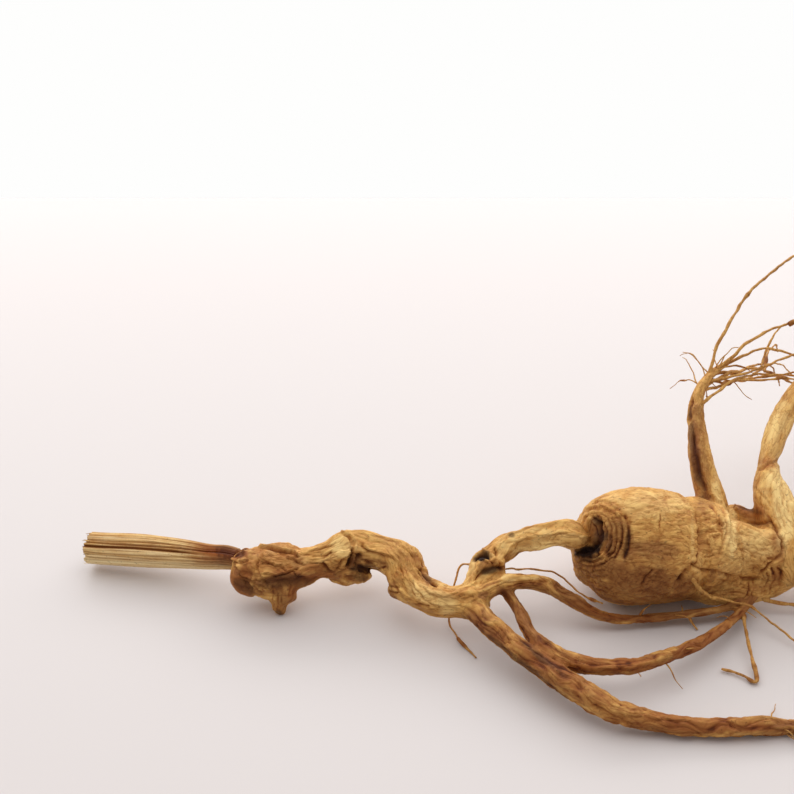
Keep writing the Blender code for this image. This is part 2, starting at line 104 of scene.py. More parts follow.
def noise(points, seed=0):
    # Random numbers at the whole-number points of space, eased between them; -1 to 1
    shifted = points + seed * seedShift
    cell = np.floor(shifted).astype(int)
    part = shifted - cell
    part = part * part * (3 - 2 * part)
    total = np.zeros(len(points))
    for corner in range(8):
        step = np.array([corner & 1, corner >> 1 & 1, corner >> 2])
        weight = np.where(step, part, 1 - part).prod(axis=1)
        x, y, z = ((cell + step) % noiseSide).T
        total += weight * noiseTable[x, y, z]
    return total


def layered(points, seed, octaves=3):
    # Noise plus finer noise at half the size and half the strength, and so on
    return sum(noise(points * 2 ** k, seed + k) * 0.5 ** k for k in range(octaves)) / layerReach


def hill(value, centre, width):
    return np.exp(-((value - centre) / width) ** 2)


def eased(value, start, stop):
    t = np.clip((value - start) / (stop - start), 0, 1)
    return t * t * (3 - 2 * t)


def patchy(points, spacing, seed, start, stop):
    # 1 in patches of a noise with this spacing, 0 between them, eased from start to stop
    return eased(noise(points / spacing, seed), start, stop)


def distanceFrom(points, place):
    return np.linalg.norm(points - (np.array(place) + tableShift), axis=-1)


def waves(rows, s, a):
    # Sum of height * sin(turns * a + waviness * s + phase), one term for each row
    return sum(height * np.sin(turns * a + waviness * s + phase)
               for height, turns, waviness, phase in rows)


def closedFaces(rings, sides, first):
    # Quads between neighbouring rings and a fan of triangles to the point at either end
    i, j = np.meshgrid(np.arange(rings - 1), np.arange(sides), indexing="ij")
    nextJ = (j + 1) % sides
    quads = np.stack([i * sides + j, i * sides + nextJ,
                      (i + 1) * sides + nextJ, (i + 1) * sides + j], axis=-1).reshape(-1, 4)
    j = np.arange(sides)
    nextJ = (j + 1) % sides
    foot = rings * sides
    last = (rings - 1) * sides
    startFan = np.stack([foot + 0 * j, nextJ, j], axis=-1)
    endFan = np.stack([foot + 1 + 0 * j, last + j, last + nextJ], axis=-1)
    return quads + first, np.vstack([startFan, endFan]) + first


def makeMesh(name, grids):
    # Each grid of rings becomes a closed skin, with one more point in the middle of each end
    points, quads, triangles = [], [], []
    count = 0
    for grid in grids:
        rings, sides = grid.shape[:2]
        points += [grid.reshape(-1, 3), grid[0].mean(axis=0)[None], grid[-1].mean(axis=0)[None]]
        newQuads, newTriangles = closedFaces(rings, sides, count)
        quads.append(newQuads)
        triangles.append(newTriangles)
        count += rings * sides + 2
    return fillMesh(name, np.vstack(points), np.vstack(quads), np.vstack(triangles))


def fillMesh(name, points, quads, triangles):
    mesh = bpy.data.meshes.new(name)
    corners = np.concatenate([quads.ravel(), triangles.ravel()])
    starts = np.concatenate([np.arange(len(quads)) * 4,
                             quads.size + np.arange(len(triangles)) * 3])
    mesh.vertices.add(len(points))
    mesh.vertices.foreach_set("co", (points * mm).astype(np.float32).ravel())
    mesh.loops.add(len(corners))
    mesh.loops.foreach_set("vertex_index", corners.astype(np.int32))
    mesh.polygons.add(len(starts))
    mesh.polygons.foreach_set("loop_start", starts.astype(np.int32))
    mesh.update(calc_edges=True)
    mesh.validate()
    return mesh


def addPiece(name, mesh):
    piece = bpy.data.objects.new(name, mesh)
    bpy.context.scene.collection.objects.link(piece)
    return piece


def growTogether(name, grids, voxel):
    # One skin round all the limbs: a voxel remesh of their closed sweeps
    rough = addPiece(name + "Rough", makeMesh(name + "Rough", grids))
    remesh = rough.modifiers.new("grownTogether", "REMESH")
    remesh.mode = "VOXEL"
    remesh.voxel_size = voxel * mm
    bpy.context.view_layer.update()
    depsgraph = bpy.context.evaluated_depsgraph_get()
    mesh = bpy.data.meshes.new_from_object(rough.evaluated_get(depsgraph))
    mesh.name = name
    bpy.data.objects.remove(rough, do_unlink=True)
    return addPiece(name, mesh)


def readPoints(mesh):
    points = np.empty(len(mesh.vertices) * 3, np.float32)
    mesh.vertices.foreach_get("co", points)
    return points.reshape(-1, 3).astype(float) / mm


def writePoints(mesh, points):
    mesh.vertices.foreach_set("co", (points * mm).astype(np.float32).ravel())
    mesh.update()


def relax(mesh, points, rounds, share):
    # Each round moves a point by its share of the way to the mean of its neighbours
    edges = np.empty(len(mesh.edges) * 2, np.int32)
    mesh.edges.foreach_get("vertices", edges)
    a, b = edges.reshape(-1, 2).T
    degree = np.bincount(np.concatenate([a, b]), minlength=len(points))[:, None]
    for _ in range(rounds):
        total = np.stack([np.bincount(a, points[b, k], len(points))
                          + np.bincount(b, points[a, k], len(points)) for k in range(3)], axis=-1)
        points = points + share * (total / degree - points)
    return points


def locate(points, limb):
    # Nearest sample of the limb, then a step along its tangent: gives the distance along
    # the limb, the angle round it and how far the point lies outside its radius
    centre = limb["centre"].astype(np.float32)
    nearest = ((centre ** 2).sum(axis=1) / 2 - points.astype(np.float32) @ centre.T).argmin(axis=1)
    step = ((points - limb["centre"][nearest]) * limb["tangent"][nearest]).sum(axis=1)
    along = np.clip(limb["along"][nearest] + step, 0, limb["along"][-1])
    read = lambda rows: np.stack([np.interp(along, limb["along"], rows[:, k]) for k in range(3)],
                                 axis=-1)
    spoke = points - read(limb["centre"])
    angle = np.arctan2((spoke * read(limb["side"])).sum(axis=1),
                       (spoke * read(limb["top"])).sum(axis=1))
    radius = np.interp(along, limb["along"], limb["radius"])
    return along, angle, np.linalg.norm(spoke, axis=1) - radius, radius


def readNormals(mesh):
    normals = np.empty(len(mesh.vertices) * 3, np.float32)
    mesh.vertex_normals.foreach_get("vector", normals)
    return normals.reshape(-1, 3).astype(float)


def storeValues(mesh, name, values):
    kind, field = ("FLOAT_VECTOR", "vector") if values.ndim == 2 else ("FLOAT", "value")
    attribute = mesh.attributes.new(name, kind, "POINT")
    attribute.data.foreach_set(field, values.astype(np.float32).ravel())


def toPhoto(points):
    # Perspective of the camera: column and row in the photograph's 794-pixel frame
    tilt = math.radians(camera["elevation"])
    ahead = np.array([0, math.cos(tilt), -math.sin(tilt)])
    above = np.array([0, math.sin(tilt), math.cos(tilt)])
    ray = points - np.array(camera["place"])
    depth = ray @ ahead
    pixels = camera["frame"] / 2 / math.tan(math.radians(camera["halfField"]))
    middleRow = camera["frame"] * (0.5 + camera["shiftUp"])
    return np.stack([camera["frame"] / 2 + pixels * ray[:, 0] / depth,
                     middleRow - pixels * (ray @ above) / depth], axis=-1)


def strokeDistance(spots, line):
    # Signed distance in pixels from each spot to a line of points; positive on its left
    line = np.array(line, float)
    best = np.full(len(spots), 1e9)
    sign = np.ones(len(spots))
    for start, stop in zip(line[:-1], line[1:]):
        run = stop - start
        t = np.clip(((spots - start) @ run) / (run @ run), 0, 1)
        gap = spots - start - t[:, None] * run
        distance = np.linalg.norm(gap, axis=1)
        nearer = distance < best
        best = np.where(nearer, distance, best)
        sign = np.where(nearer, np.sign(run[0] * gap[:, 1] - run[1] * gap[:, 0]), sign)
    return -best * sign


drawing = {
    "strokeFacing": 0.3,                     # how squarely skin faces the camera before
    "patchFacing": 0.25,                     # strokes and patches show in full
    "waver": (0.9, (35, 36), 1.3),           # a stroke strays: size in mm, seeds, pixels
    "unbroken": (1.4, 37, -0.5, 0.3),        # strokes are fainter between these patches
    "gapShare": 0.45,
    "margin": 4,                             # a stroke reaches this many half widths
    "lipOffset": 1.6,                        # a lip's distance, in half widths of its stroke
    "dashBend": 0.12,
    "dashLength": (0.5, 1.3),
    "dashWidth": (0.8, 1.3),
    "dashWeight": (0.5, 1.0),                # share of a group's depth and darkness
    "ragged": (1.5, 31, 0.6),                # patches fray: size in mm, seed, strength
    "patchEdge": (-1.25, -0.55),
    "seed": 3,
}


def scatterDashes(groups, rng):
    # Short creases strewn over ovals of the photograph's frame, each bent a little at its
    # middle and turned at random about the group's direction
    strokes = []
    for column, row, wide, high, turn, spread, count, length, depth, shade in groups:
        for _ in range(count):
            reach, about = math.sqrt(rng.random()), rng.uniform(0, 2 * math.pi)
            x = column + wide * reach * math.cos(about)
            y = row + high * reach * math.sin(about)
            lean = math.radians(turn + rng.uniform(-spread, spread))
            half = 0.5 * length * rng.uniform(*drawing["dashLength"])
            dx, dy = half * math.cos(lean), half * math.sin(lean)
            bend = rng.uniform(-drawing["dashBend"], drawing["dashBend"])
            line = (x - dx, y - dy, x - bend * dy, y + bend * dx, x + dx, y + dy)
            weight = rng.uniform(*drawing["dashWeight"])
            width = rng.uniform(*drawing["dashWidth"])
            strokes.append((line, width, depth * weight, shade * weight, 0.0))
    return strokes


def faceCamera(points, normals, limit):
    # 0 on skin turned away from the camera, rising to 1 as it turns to face it
    toCamera = unitRows(np.array(camera["place"]) - points)
    return eased((normals * toCamera).sum(axis=1), 0.0, limit)


def drawStrokes(points, normals, strokes):
    # Each stroke is a line in the photograph's frame that presses a valley into the skin
    # that faces the camera, with a raised lip beside it: returns height and darkness, the
    # darkness being painted shade in the valley
    facing = faceCamera(points, normals, drawing["strokeFacing"])
    seen = np.flatnonzero(facing > 0)
    size, seeds, strength = drawing["waver"]
    waver = np.stack([noise(points[seen] / size, seed) for seed in seeds], axis=-1)
    spots = toPhoto(points[seen]) + strength * waver
    unbroken = patchy(points[seen], *drawing["unbroken"])
    whole = facing[seen] * (1 - drawing["gapShare"] * (1 - unbroken))
    height = np.zeros(len(points))
    dark = np.zeros(len(points))
    for line, width, depth, shade, lip in strokes:
        line = np.reshape(line, (-1, 2)).astype(float)
        margin = drawing["margin"] * width
        low, high = np.min(line, axis=0) - margin, np.max(line, axis=0) + margin
        near = np.flatnonzero(((spots > low) & (spots < high)).all(axis=1))
        rows = seen[near]
        gap = strokeDistance(spots[near], line)
        valley = hill(gap, 0, width) * whole[near]
        crest = hill(gap, drawing["lipOffset"] * width, width) * facing[rows]
        height[rows] += lip * crest - depth * valley
        dark[rows] = np.maximum(dark[rows], shade * valley)
    return height, dark


def paintPatches(points, normals, patches):
    # Soft oval patches in the photograph's frame, on the skin that faces the camera; the brown,
    # dark and pale ones are partly painted shade and painted highlights
    facing = faceCamera(points, normals, drawing["patchFacing"])
    spots = toPhoto(points)
    size, seed, strength = drawing["ragged"]
    ragged = strength * layered(points / size, seed)
    amount = {}
    for colour, rows in patches.items():
        amount[colour] = np.zeros(len(points))
        for column, row, wide, high, turn, strength in rows:
            x, y = spots[:, 0] - column, spots[:, 1] - row
            c, s = math.cos(math.radians(turn)), math.sin(math.radians(turn))
            far = np.hypot((x * c + y * s) / wide, (y * c - x * s) / high) + ragged
            patch = strength * eased(-far, *drawing["patchEdge"]) * facing
            amount[colour] = np.maximum(amount[colour], patch)
    return amount


def creases(grain, across, along, seed, sharpness):
    # Sharp valleys with round ridges between them: 1 where a noise stretched along the limb
    # passes through zero, falling away on both sides
    return np.exp(-np.abs(noise(grain / np.array([across, across, along]), seed)) / sharpness)


def wrinkledSkin(skin, grain, p):
    # height = swells + pebbles - every valley, darkness = valleys - pebbles, which is painted
    # shade in the valleys made lighter on the pebbles, and tone = the skin's own shade + blotches +
    # lengthwise streaks
    size, seed, rise = skin["swells"]
    height = rise * layered(p / size, seed)
    size, seed, rise, light = skin["pebbles"]
    pebbles = noise(grain / np.array(size), seed)
    height, crease = height + rise * pebbles, -light * pebbles
    for across, along, seed, sharpness, patches, depth, shade in skin["valleys"]:
        valley = creases(grain, across, along, seed, sharpness)
        if patches:
            valley = valley * patchy(p, *patches)
        height, crease = height - depth * valley, crease + shade * valley
    tone = skin["shade"]
    for size, seed, strength in skin["blotches"]:
        tone = tone + strength * layered(p / np.array(size), seed)
    for size, seed, strength in skin["streaks"]:
        tone = tone + strength * noise(grain / np.array(size), seed)
    return height, crease, tone


growth = {
    "smoothing": (3, 0.5),                   # rounds and share that take the voxel steps away
    "forkWidth": 1.3,                        # forks are rounded where limbs differ by this
    "forkDepth": 1.5,
    "forkShare": 0.6,
    "fade": 0.5,                             # one limb's skin gives way to the next over this
    "least": 0.01,                           # the smallest share of a limb's skin that counts
    "wobble": (2.3, 3, 0.5),                 # the grain strays: size, seed, strength
    "knotLumps": (1.1, 33, 0.45),            # lumps and pits of a stem scar, in the same way
    "knotReach": 0.7,
    "knotDark": 0.8,
    "knotPits": (0.15, 0.5),
}


def finishSkin(piece, limbs, skins, part):
    # Rounds the forks, then raises each limb's own relief, cross-faded where limbs meet
    mesh = piece.data
    points = relax(mesh, readPoints(mesh), *growth["smoothing"])
    outside = np.stack([locate(points, limb)[2] for limb in limbs.values()])
    order = np.sort(outside, axis=0)
    fork = hill(order[1] - order[0], 0, growth["forkWidth"]) * hill(order[0], 0, growth["forkDepth"])
    points = relax(mesh, points, part["forkRounds"], growth["forkShare"] * fork[:, None])
    writePoints(mesh, points)
    normals = readNormals(mesh)
    found = [locate(points, limb) for limb in limbs.values()]
    outside = np.stack([row[2] for row in found])
    weight = np.exp(-(outside - outside.min(axis=0)) / growth["fade"])
    weight /= weight.sum(axis=0)
    height, crease, tone = np.zeros((3, len(points)))
    grainSum = np.zeros((len(points), 3))
    for name, (along, angle, _, radius), share in zip(limbs, found, weight):
        near = share > growth["least"]
        s, a, r = along[near], angle[near], radius[near]
        size, seed, strength = growth["wobble"]
        wobble = strength * noise(points[near] / size, seed)
        grain = np.stack([np.cos(a) * r + wobble, np.sin(a) * r - wobble, s + wobble], axis=-1)
        limbHeight, limbCrease, limbTone = skins[name](a, r, grain, points[near])
        height[near] += share[near] * limbHeight
        crease[near] += share[near] * limbCrease
        tone[near] += share[near] * limbTone
        strongest = near & (share >= weight.max(axis=0) - 1e-9)
        grainSum[strongest] = grain[strongest[near]]
    for centre, reach in part["knots"]:
        close = hill(distanceFrom(points, centre) / reach, 0, growth["knotReach"])
        size, seed, rise = growth["knotLumps"]
        ragged = layered(points / size, seed)
        height += rise * close * ragged
        # the pits of the scars are darkened with painted shade
        pits = growth["knotDark"] * close * eased(-ragged, *growth["knotPits"])
        crease = np.maximum(crease, pits)
    dashes = scatterDashes(part["dashes"], random.Random(drawing["seed"]))
    drawn, dark = drawStrokes(points, normals, part["strokes"] + tuple(dashes))
    painted = paintPatches(points, normals, part["patches"])
    points = points + normals * (height + drawn)[:, None]
    points[:, 2] = np.maximum(points[:, 2], 0.0)
    writePoints(mesh, points)
    # crease is painted shade in valleys, pits and drawn creases; tone takes the brown patches, partly
    # painted shade, and the pale ones, partly painted highlight; the dark patches are painted shade in
    # pits and hollows, with a few real stains
    storeValues(mesh, "crease", np.clip(np.maximum(crease, dark), 0, 1))
    storeValues(mesh, "tone", np.clip(tone + painted["brown"] - painted["pale"], -1, 1))
    storeValues(mesh, "stainAndPitShade", np.clip(painted["dark"], 0, 1))
    storeValues(mesh, "rust", np.clip(painted["rust"], 0, 1))
    storeValues(mesh, "grain", grainSum)


# Wrinkles of a skin. Valleys: size across and along the limb, seed, sharpness, the patches
# that they keep to (spacing, seed, start, stop), depth, darkness, which is painted shade.
# Pebbles: sizes, seed, height, lightness, which is a painted highlight. Swells, blotches and
# streaks: size, seed, strength.
legWrinkles = {
    "valleys": ((1.1, 9.0, 21, 0.3, None, 0.14, 0.24), (0.6, 4.0, 22, 0.25, None, 0.07, 0.16),
                (2.4, 0.8, 23, 0.1, (2.0, 24, 0.1, 0.6), 0.07, 0.2)),
    "pebbles": ((0.5, 0.5, 0.9), 27, 0.05, 0.14),
    "swells": (1.8, 25, 0.1),
    "blotches": ((4.0, 26, 0.3),),
    "streaks": (((0.9, 0.9, 14.0), 28, 0.4),),
    "shade": -0.15,
}
armWrinkles = {
    "valleys": ((0.7, 6.0, 41, 0.2, None, 0.2, 0.45), (0.45, 2.8, 42, 0.22, None, 0.13, 0.35),
                (2.0, 0.8, 43, 0.1, (1.8, 44, 0.1, 0.6), 0.12, 0.35)),
    "pebbles": ((0.45, 0.45, 0.8), 47, 0.07, 0.18),
    "swells": (1.2, 45, 0.16),
    "blotches": ((3.5, 46, 0.4), ((1.0, 1.0, 0.8), 49, 0.45)),
    "streaks": (((0.55, 0.55, 8.0), 48, 0.5),),
    "shade": 0.46,
    "fullRadius": 1.5,                       # thinner side roots than this are smoother
    "leastShare": 0.3,
}
armWaves = ((0.09, 4, 0.2, 0.0), (0.05, 0, 1.1, 0.0))


def armForm(s, a):
    return waves(armWaves, s, a)


def legSkin(a, r, grain, p):
    return wrinkledSkin(legWrinkles, grain, p)


def armSkin(a, r, grain, p):
    height, crease, tone = wrinkledSkin(armWrinkles, grain, p)
    thin = np.clip(r / armWrinkles["fullRadius"], armWrinkles["leastShare"], 1.0)
    return thin * height, crease, tone


# The swollen body, its tail and legs
body = {
    "unit": 8.4,
    "sink": 0.25,
    "route": ((-11.0, 0.3, 8.4, 0.14), (-10.5, 0.3, 8.4, 0.37), (-9.4, 0.3, 8.4, 0.60),
              (-7.6, 0.3, 8.6, 0.83), (-5.2, 0.3, 8.75, 0.98), (-2.2, 0.3, 8.75, 1.03),
              (2.0, 0.4, 8.4, 1.0), (5.0, 0.5, 8.15, 0.94), (7.6, 0.6, 8.1, 0.88),
              (9.6, 0.3, 8.0, 0.81), (11.6, 0.0, 7.9, 0.71), (13.4, 0.0, 8.1, 0.58),
              (15.4, -0.3, 8.1, 0.51), (17.6, -0.6, 7.7, 0.48), (20.4, -1.0, 7.0, 0.4)),
    "voxel": 0.205,
    "spacing": 0.3,
    "sides": 160,
    "forkRounds": 16,
    # Slow lobes: height, turns, waviness, phase
    "lobes": ((0.26, 3, 0.25, 0.0), (0.16, 5, 0.0, 1.0)),
    # Belts round the body, the waist first: place, sway and its phase, width, height
    "belts": ((17.2, 0.5, 0.0, 0.8, -0.9), (20.6, 0.4, math.pi / 2, 0.9, 0.4),
              (22.8, 0.6, 0.6, 0.8, -0.5), (26.5, 0.0, 0.0, 0.8, -0.4)),
    "waistFront": (1.4, 1.2, 0.3),           # where the waist is deepest, its reach, the rest
    "pucker": (-9.3, -2.9, 12.3),            # where the neck enters the shoulder
    "puckerFacing": (-0.67, -0.5, 0.58),
    "puckerEdge": (3.9, 1.0),                # sinks from the first distance to the second
    "puckerDepth": 1.2,
    "ringSpacing": 0.85,                     # broken rings about the pucker
    "ringWaver": (2.6, 16, 0.4),
    "ringWidth": 0.4,
    "ringGaps": (1.7, 17, -0.5, 0.2),
    "ringBand": (2.4, 3.2, 5.0, 7.5),        # they fade in and out at these distances
    "ringDepth": 0.15,
    "ringDark": 0.3,
    # Crepe-like skin: wavy lengthwise ridges, finer ones, and a few short cross creases
    "valleys": ((1.3, 6.0, 11, 0.3, None, 0.07, 0.14), (0.6, 1.5, 12, 0.25, None, 0.1, 0.34),
                (2.6, 0.8, 13, 0.1, (2.6, 14, 0.2, 0.6), 0.07, 0.2)),
    "pebbles": ((0.45, 0.45, 0.55), 19, 0.07, 0.16),
    "swells": (3.0, 15, 0.14),
    "blotches": ((4.0, 18, 0.35),),
    "streaks": (),
    "shade": -0.1,
    # The side that the photograph hides has no drawn strokes, so its wrinkles are stronger
    "seenAngle": 0.96,
    "hiddenFrom": (1.4, 2.1),
    "hiddenHeight": 0.4,
    "hiddenCrease": 0.3,
    "hiddenMottle": ((0.9, 0.9, 3.5), 20, 0.4, 0.15),
    "girdles": (3.2, 0.9, 29, 0.12),
    "girdlePatches": (3.4, 30, -0.1, 0.4),
    "girdleDepth": 0.1,
    "girdleDark": 0.35,
    # Creases seen from the camera: pixels of the photograph, half width in pixels, depth
    # in millimetres, darkness, which is painted shade in the crease, and the height of the lip on
    # their left
    "strokes": (
        # folds that part the rear lobes
        ((712, 496, 719, 503, 725, 513, 728, 525, 727, 538, 722, 550), 1.2, 0.3, 0.6, 0.3),
        ((731, 503, 737, 512, 739, 524, 738, 536, 742, 548), 1.2, 0.3, 0.35, 0.3),
        ((744, 520, 752, 524, 760, 524, 768, 521), 1.2, 0.3, 0.6, 0.0),
        # the puckers round the neck's end
        ((590, 521, 595, 527, 597, 537, 596, 547), 0.8, 0.3, 1.0, 0.1),
        ((594, 519, 599, 525, 601, 536, 600, 547, 595, 555), 0.8, 0.3, 0.9, 0.1),
        ((575, 556, 582, 560, 592, 562, 601, 560, 608, 554), 0.9, 0.35, 1.0, 0.15),
        ((575, 562, 583, 566, 593, 567, 604, 564, 612, 557), 0.8, 0.3, 0.9, 0.2),
        ((580, 569, 590, 572, 600, 571), 0.8, 0.25, 0.7, 0.25),
        ((590, 503, 599, 500, 609, 502, 618, 508), 0.8, 0.2, 0.7, 0.2),
        ((587, 509, 597, 506, 607, 508, 616, 514), 0.8, 0.2, 0.7, 0.2),
        ((597, 516, 603, 524, 605, 536, 604, 548, 600, 558), 0.8, 0.3, 0.7, 0.15),
        ((599, 524, 600, 534, 598, 543, 591, 549, 580, 551), 2.2, 0.7, 1.0, 0.0),
        ((591, 517, 596, 520, 599, 526), 1.6, 0.4, 0.9, 0.0),
        ((579, 556, 592, 557, 600, 552, 605, 543, 606, 533, 603, 524), 1.5, 0.45, 1.0, 0.15),
        ((580, 561, 590, 562, 600, 558, 608, 550, 611, 540, 611, 528, 608, 519), 1.3, 0.4, 0.95, 0.15),
        ((607, 558, 614, 551, 617, 541, 616, 528, 613, 518), 1.3, 0.38, 0.9, 0.15),
        ((614, 557, 620, 549, 622, 539, 622, 527, 620, 516), 1.3, 0.38, 0.9, 0.15),
        ((623, 558, 628, 549, 630, 538, 629, 526, 625, 515), 1.9, 0.5, 1.0, -0.12),
        ((583, 512, 590, 509, 600, 508, 608, 510), 1.2, 0.3, 0.55, 0.1),
        ((584, 517, 592, 513, 601, 513, 606, 516), 1.0, 0.25, 0.7, 0.1),
        ((590, 501, 600, 503, 611, 503), 1.0, 0.18, 0.4, 0.0),
        ((577, 566, 586, 567, 597, 564), 1.0, 0.2, 0.5, 0.0),
        # short cracks
        ((660, 514, 661, 522, 660, 531), 0.9, 0.2, 0.8, 0.0),
        ((653, 570, 647, 577, 641, 585), 1.3, 0.4, 1.0, 0.1),
        ((632, 560, 636, 568, 635, 577), 0.8, 0.15, 0.5, 0.0),
        # the waist with its pale crest, and the segments behind it
        ((696, 515, 699, 524, 701, 534, 700, 541, 701, 548, 698, 560, 695, 567), 1.4, 0.45, 0.8, -0.25),
        ((694, 496, 700, 500, 707, 502, 714, 508, 719, 516, 723, 526), 1.1, 0.3, 0.8, 0.2),
        ((719, 523, 723, 533, 724, 545, 720, 553), 1.5, 0.35, 0.6, -0.15),
        ((702, 532, 704, 541, 703, 552), 1.5, 0.2, 0.5, 0.0),
        ((737, 524, 739, 532, 741, 546), 1.2, 0.2, 0.35, 0.0),
        ((727, 555, 735, 560, 742, 559), 1.0, 0.2, 0.4, 0.1),
        # the crease between the rear lobe and the lobe under it
        ((692, 564, 698, 568, 706, 571, 718, 574, 730, 577, 744, 579, 757, 579), 1.6, 0.6, 0.85, 0.0),
        ((716, 573, 723, 575, 730, 576), 2.4, 0.4, 1.0, 0.0),
        ((680, 582, 684, 576, 687, 571), 2.8, 0.9, 1.0, 0.0),
        ((677, 583, 673, 589, 667, 597), 1.1, 0.3, 0.6, 0.0),
        ((748, 582, 749, 590, 746, 598), 1.2, 0.4, 1.0, 0.0),
        ((753, 581, 754, 590, 751, 599), 1.3, 0.4, 0.95, 0.0),
        ((773, 570, 775, 580, 771, 591), 1.6, 0.5, 1.0, -0.15),
        ((778, 567, 782, 573, 779, 585), 2.0, 0.5, 1.0, 0.0),
        ((767, 573, 768, 582, 765, 592), 1.2, 0.3, 0.7, 0.1),
        ((762, 579, 764, 587, 762, 593), 1.0, 0.2, 0.5, 0.0),
        # the crease that bounds the right leg's foot
        ((770, 521, 777, 529, 783, 540, 784, 549, 780, 557, 772, 564, 760, 574), 1.7, 0.55, 0.75, 0.0),
        ((769, 558, 775, 559, 780, 556), 2.2, 0.3, 0.8, 0.0),
        # the left leg's groove and the right leg's node
        ((689, 400, 691, 425, 695, 449, 700, 474, 707, 497), 3.6, 0.7, 0.75, 0.0),
        ((697, 405, 701, 424, 706, 445, 712, 468, 718, 490), 1.8, -0.3, 0.0, 0.0),
        ((757, 470, 764, 466, 772, 463, 779, 461), 1.4, 0.25, 0.5, 0.15),
        ((755, 488, 762, 497, 770, 503), 1.2, 0.2, 0.4, 0.0),
        ((753, 497, 759, 505, 768, 510), 1.2, 0.2, 0.4, 0.0),
    ),
    # Coloured patches seen from the camera: column, row, half width, half height, turn, strength.
    # Brown is partly the skin's own colour and partly painted shade on the bulb's lower half, the
    # left leg's left side and the band between the legs; dark is painted shade in the pucker's pits
    # and rings, under that band and in the left leg's groove; pale is partly painted highlight on
    # the bulb's top, the crests and the rear lobe
    "patches": {
        "brown": ((612, 538, 20, 26, 0, 0.8), (640, 590, 72, 28, 0, 1.0), (650, 562, 46, 12, 0, 0.5),
            (590, 575, 22, 18, 0, 0.6), (650, 560, 30, 18, 0, 0.45), (646, 549, 46, 13, 4, 0.75),
            (606, 573, 42, 19, 12, 0.95), (594, 534, 9, 18, 0, 1.0), (608, 546, 8, 16, 0, 0.9),
            (700, 486, 8, 16, -12, 0.6), (718, 592, 34, 14, 5, 0.35), (765, 585, 20, 14, 0, 0.5),
            (762, 522, 11, 7, 0, 0.9), (750, 512, 26, 10, 24, 1.0), (698, 455, 14, 60, -8, 0.8),
            (757, 508, 5, 20, 0, 0.6)),
        "dark": ((590, 550, 15, 6, -12, 1.0), (592, 558, 12, 4, -10, 0.6), (600, 544, 4, 10, 20, 0.8),
            (596, 521, 7, 5, 35, 0.6), (627, 545, 3, 16, 8, 0.6), (597, 540, 6, 14, 8, 0.55),
            (609, 547, 4, 11, 8, 0.35), (748, 508, 16, 3, 24, 0.5), (694, 452, 6, 46, -9, 0.5)),
        "pale": ((740, 538, 10, 10, 0, 0.3), (733, 517, 6, 15, -18, 0.8), (762, 536, 14, 9, 0, 0.6),
            (716, 488, 5, 15, -14, 0.6), (775, 438, 9, 26, 0, 0.5), (732, 535, 7, 22, -10, 0.9),
            (652, 506, 38, 16, 0, 0.45), (760, 546, 20, 14, 0, 0.4), (712, 465, 4, 40, -14, 0.5),
            (783, 500, 14, 46, 0, 1.0), (778, 425, 10, 26, 12, 0.7), (693, 540, 2, 26, 0, 0.4)),
        "rust": ((695, 452, 5, 26, 0, 0.7), (766, 462, 10, 5, 0, 0.6), (748, 507, 20, 8, 25, 0.7),
            (777, 578, 7, 11, 0, 0.5), (778, 545, 6, 22, -12, 0.5), (767, 463, 13, 6, 0, 0.55)),
    },
    # Scattered short creases: column, row, half width, half height, turn and spread in
    # degrees, count, length in pixels, depth in millimetres, darkness (painted shade in the crease)
    "dashes": (
        (711, 535, 12, 24, 2, 14, 52, 6, 0.17, 0.7), (711, 535, 12, 24, 85, 14, 18, 6, 0.15, 0.6),
        (655, 510, 44, 16, 2, 8, 56, 12, 0.11, 0.5), (658, 540, 40, 18, 4, 10, 56, 11, 0.12, 0.55),
        (655, 525, 40, 30, 80, 20, 26, 5, 0.1, 0.5),
        (640, 586, 56, 18, 8, 12, 70, 11, 0.13, 0.65), (640, 590, 50, 16, -50, 16, 26, 8, 0.13, 0.6),
        (757, 550, 22, 22, 20, 16, 46, 9, 0.13, 0.6), (757, 550, 22, 22, -50, 14, 24, 7, 0.12, 0.55),
        (722, 588, 30, 9, 8, 10, 40, 10, 0.15, 0.65), (735, 535, 8, 20, 80, 14, 14, 6, 0.1, 0.45),
        (612, 538, 10, 22, 8, 18, 22, 6, 0.12, 0.6), (590, 580, 16, 14, 35, 20, 16, 8, 0.1, 0.5),
        (702, 450, 9, 40, 78, 8, 22, 12, 0.14, 0.5), (784, 500, 10, 34, 84, 10, 26, 11, 0.14, 0.5),
        (778, 420, 11, 30, 105, 10, 20, 11, 0.12, 0.45),
    ),
    "knots": (),
}

tailRoute = ((17.0, -0.6, 7.8, 3.2), (20.4, -1.0, 7.0, 3.7), (23.8, -1.0, 6.0, 3.3),
             (27.6, -0.9, 4.9, 2.6), (32.0, -0.5, 3.8, 2.0), (37.0, 0.6, 2.8, 1.5),
             (43.0, 2.6, 2.0, 1.1), (49.0, 5.0, 1.4, 0.82), (55.0, 7.6, 1.0, 0.6),
             (60.0, 9.4, 0.8, 0.42))
underLobeRoute = ((3.0, -4.2, 5.0, 1.2), (6.3, -3.3, 3.9, 2.2), (8.8, -2.8, 3.3, 2.6),
                  (11.5, -2.8, 3.1, 2.6), (14.1, -2.8, 3.2, 2.45), (16.6, -2.5, 3.6, 2.5),
                  (18.8, -2.2, 4.2, 2.4), (21.4, -1.7, 5.0, 1.9))
leftLegRoute = ((11.0, 2.0, 7.6, 2.7), (10.5, 6.1, 11.3, 2.3), (9.6, 9.3, 14.0, 2.05),
                (9.1, 12.3, 16.5, 1.8), (9.2, 16.0, 18.6, 1.5), (9.4, 18.8, 20.5, 1.25),
                (10.4, 21.7, 22.2, 1.0), (12.6, 24.6, 23.6, 0.75), (15.8, 27.2, 24.4, 0.5))
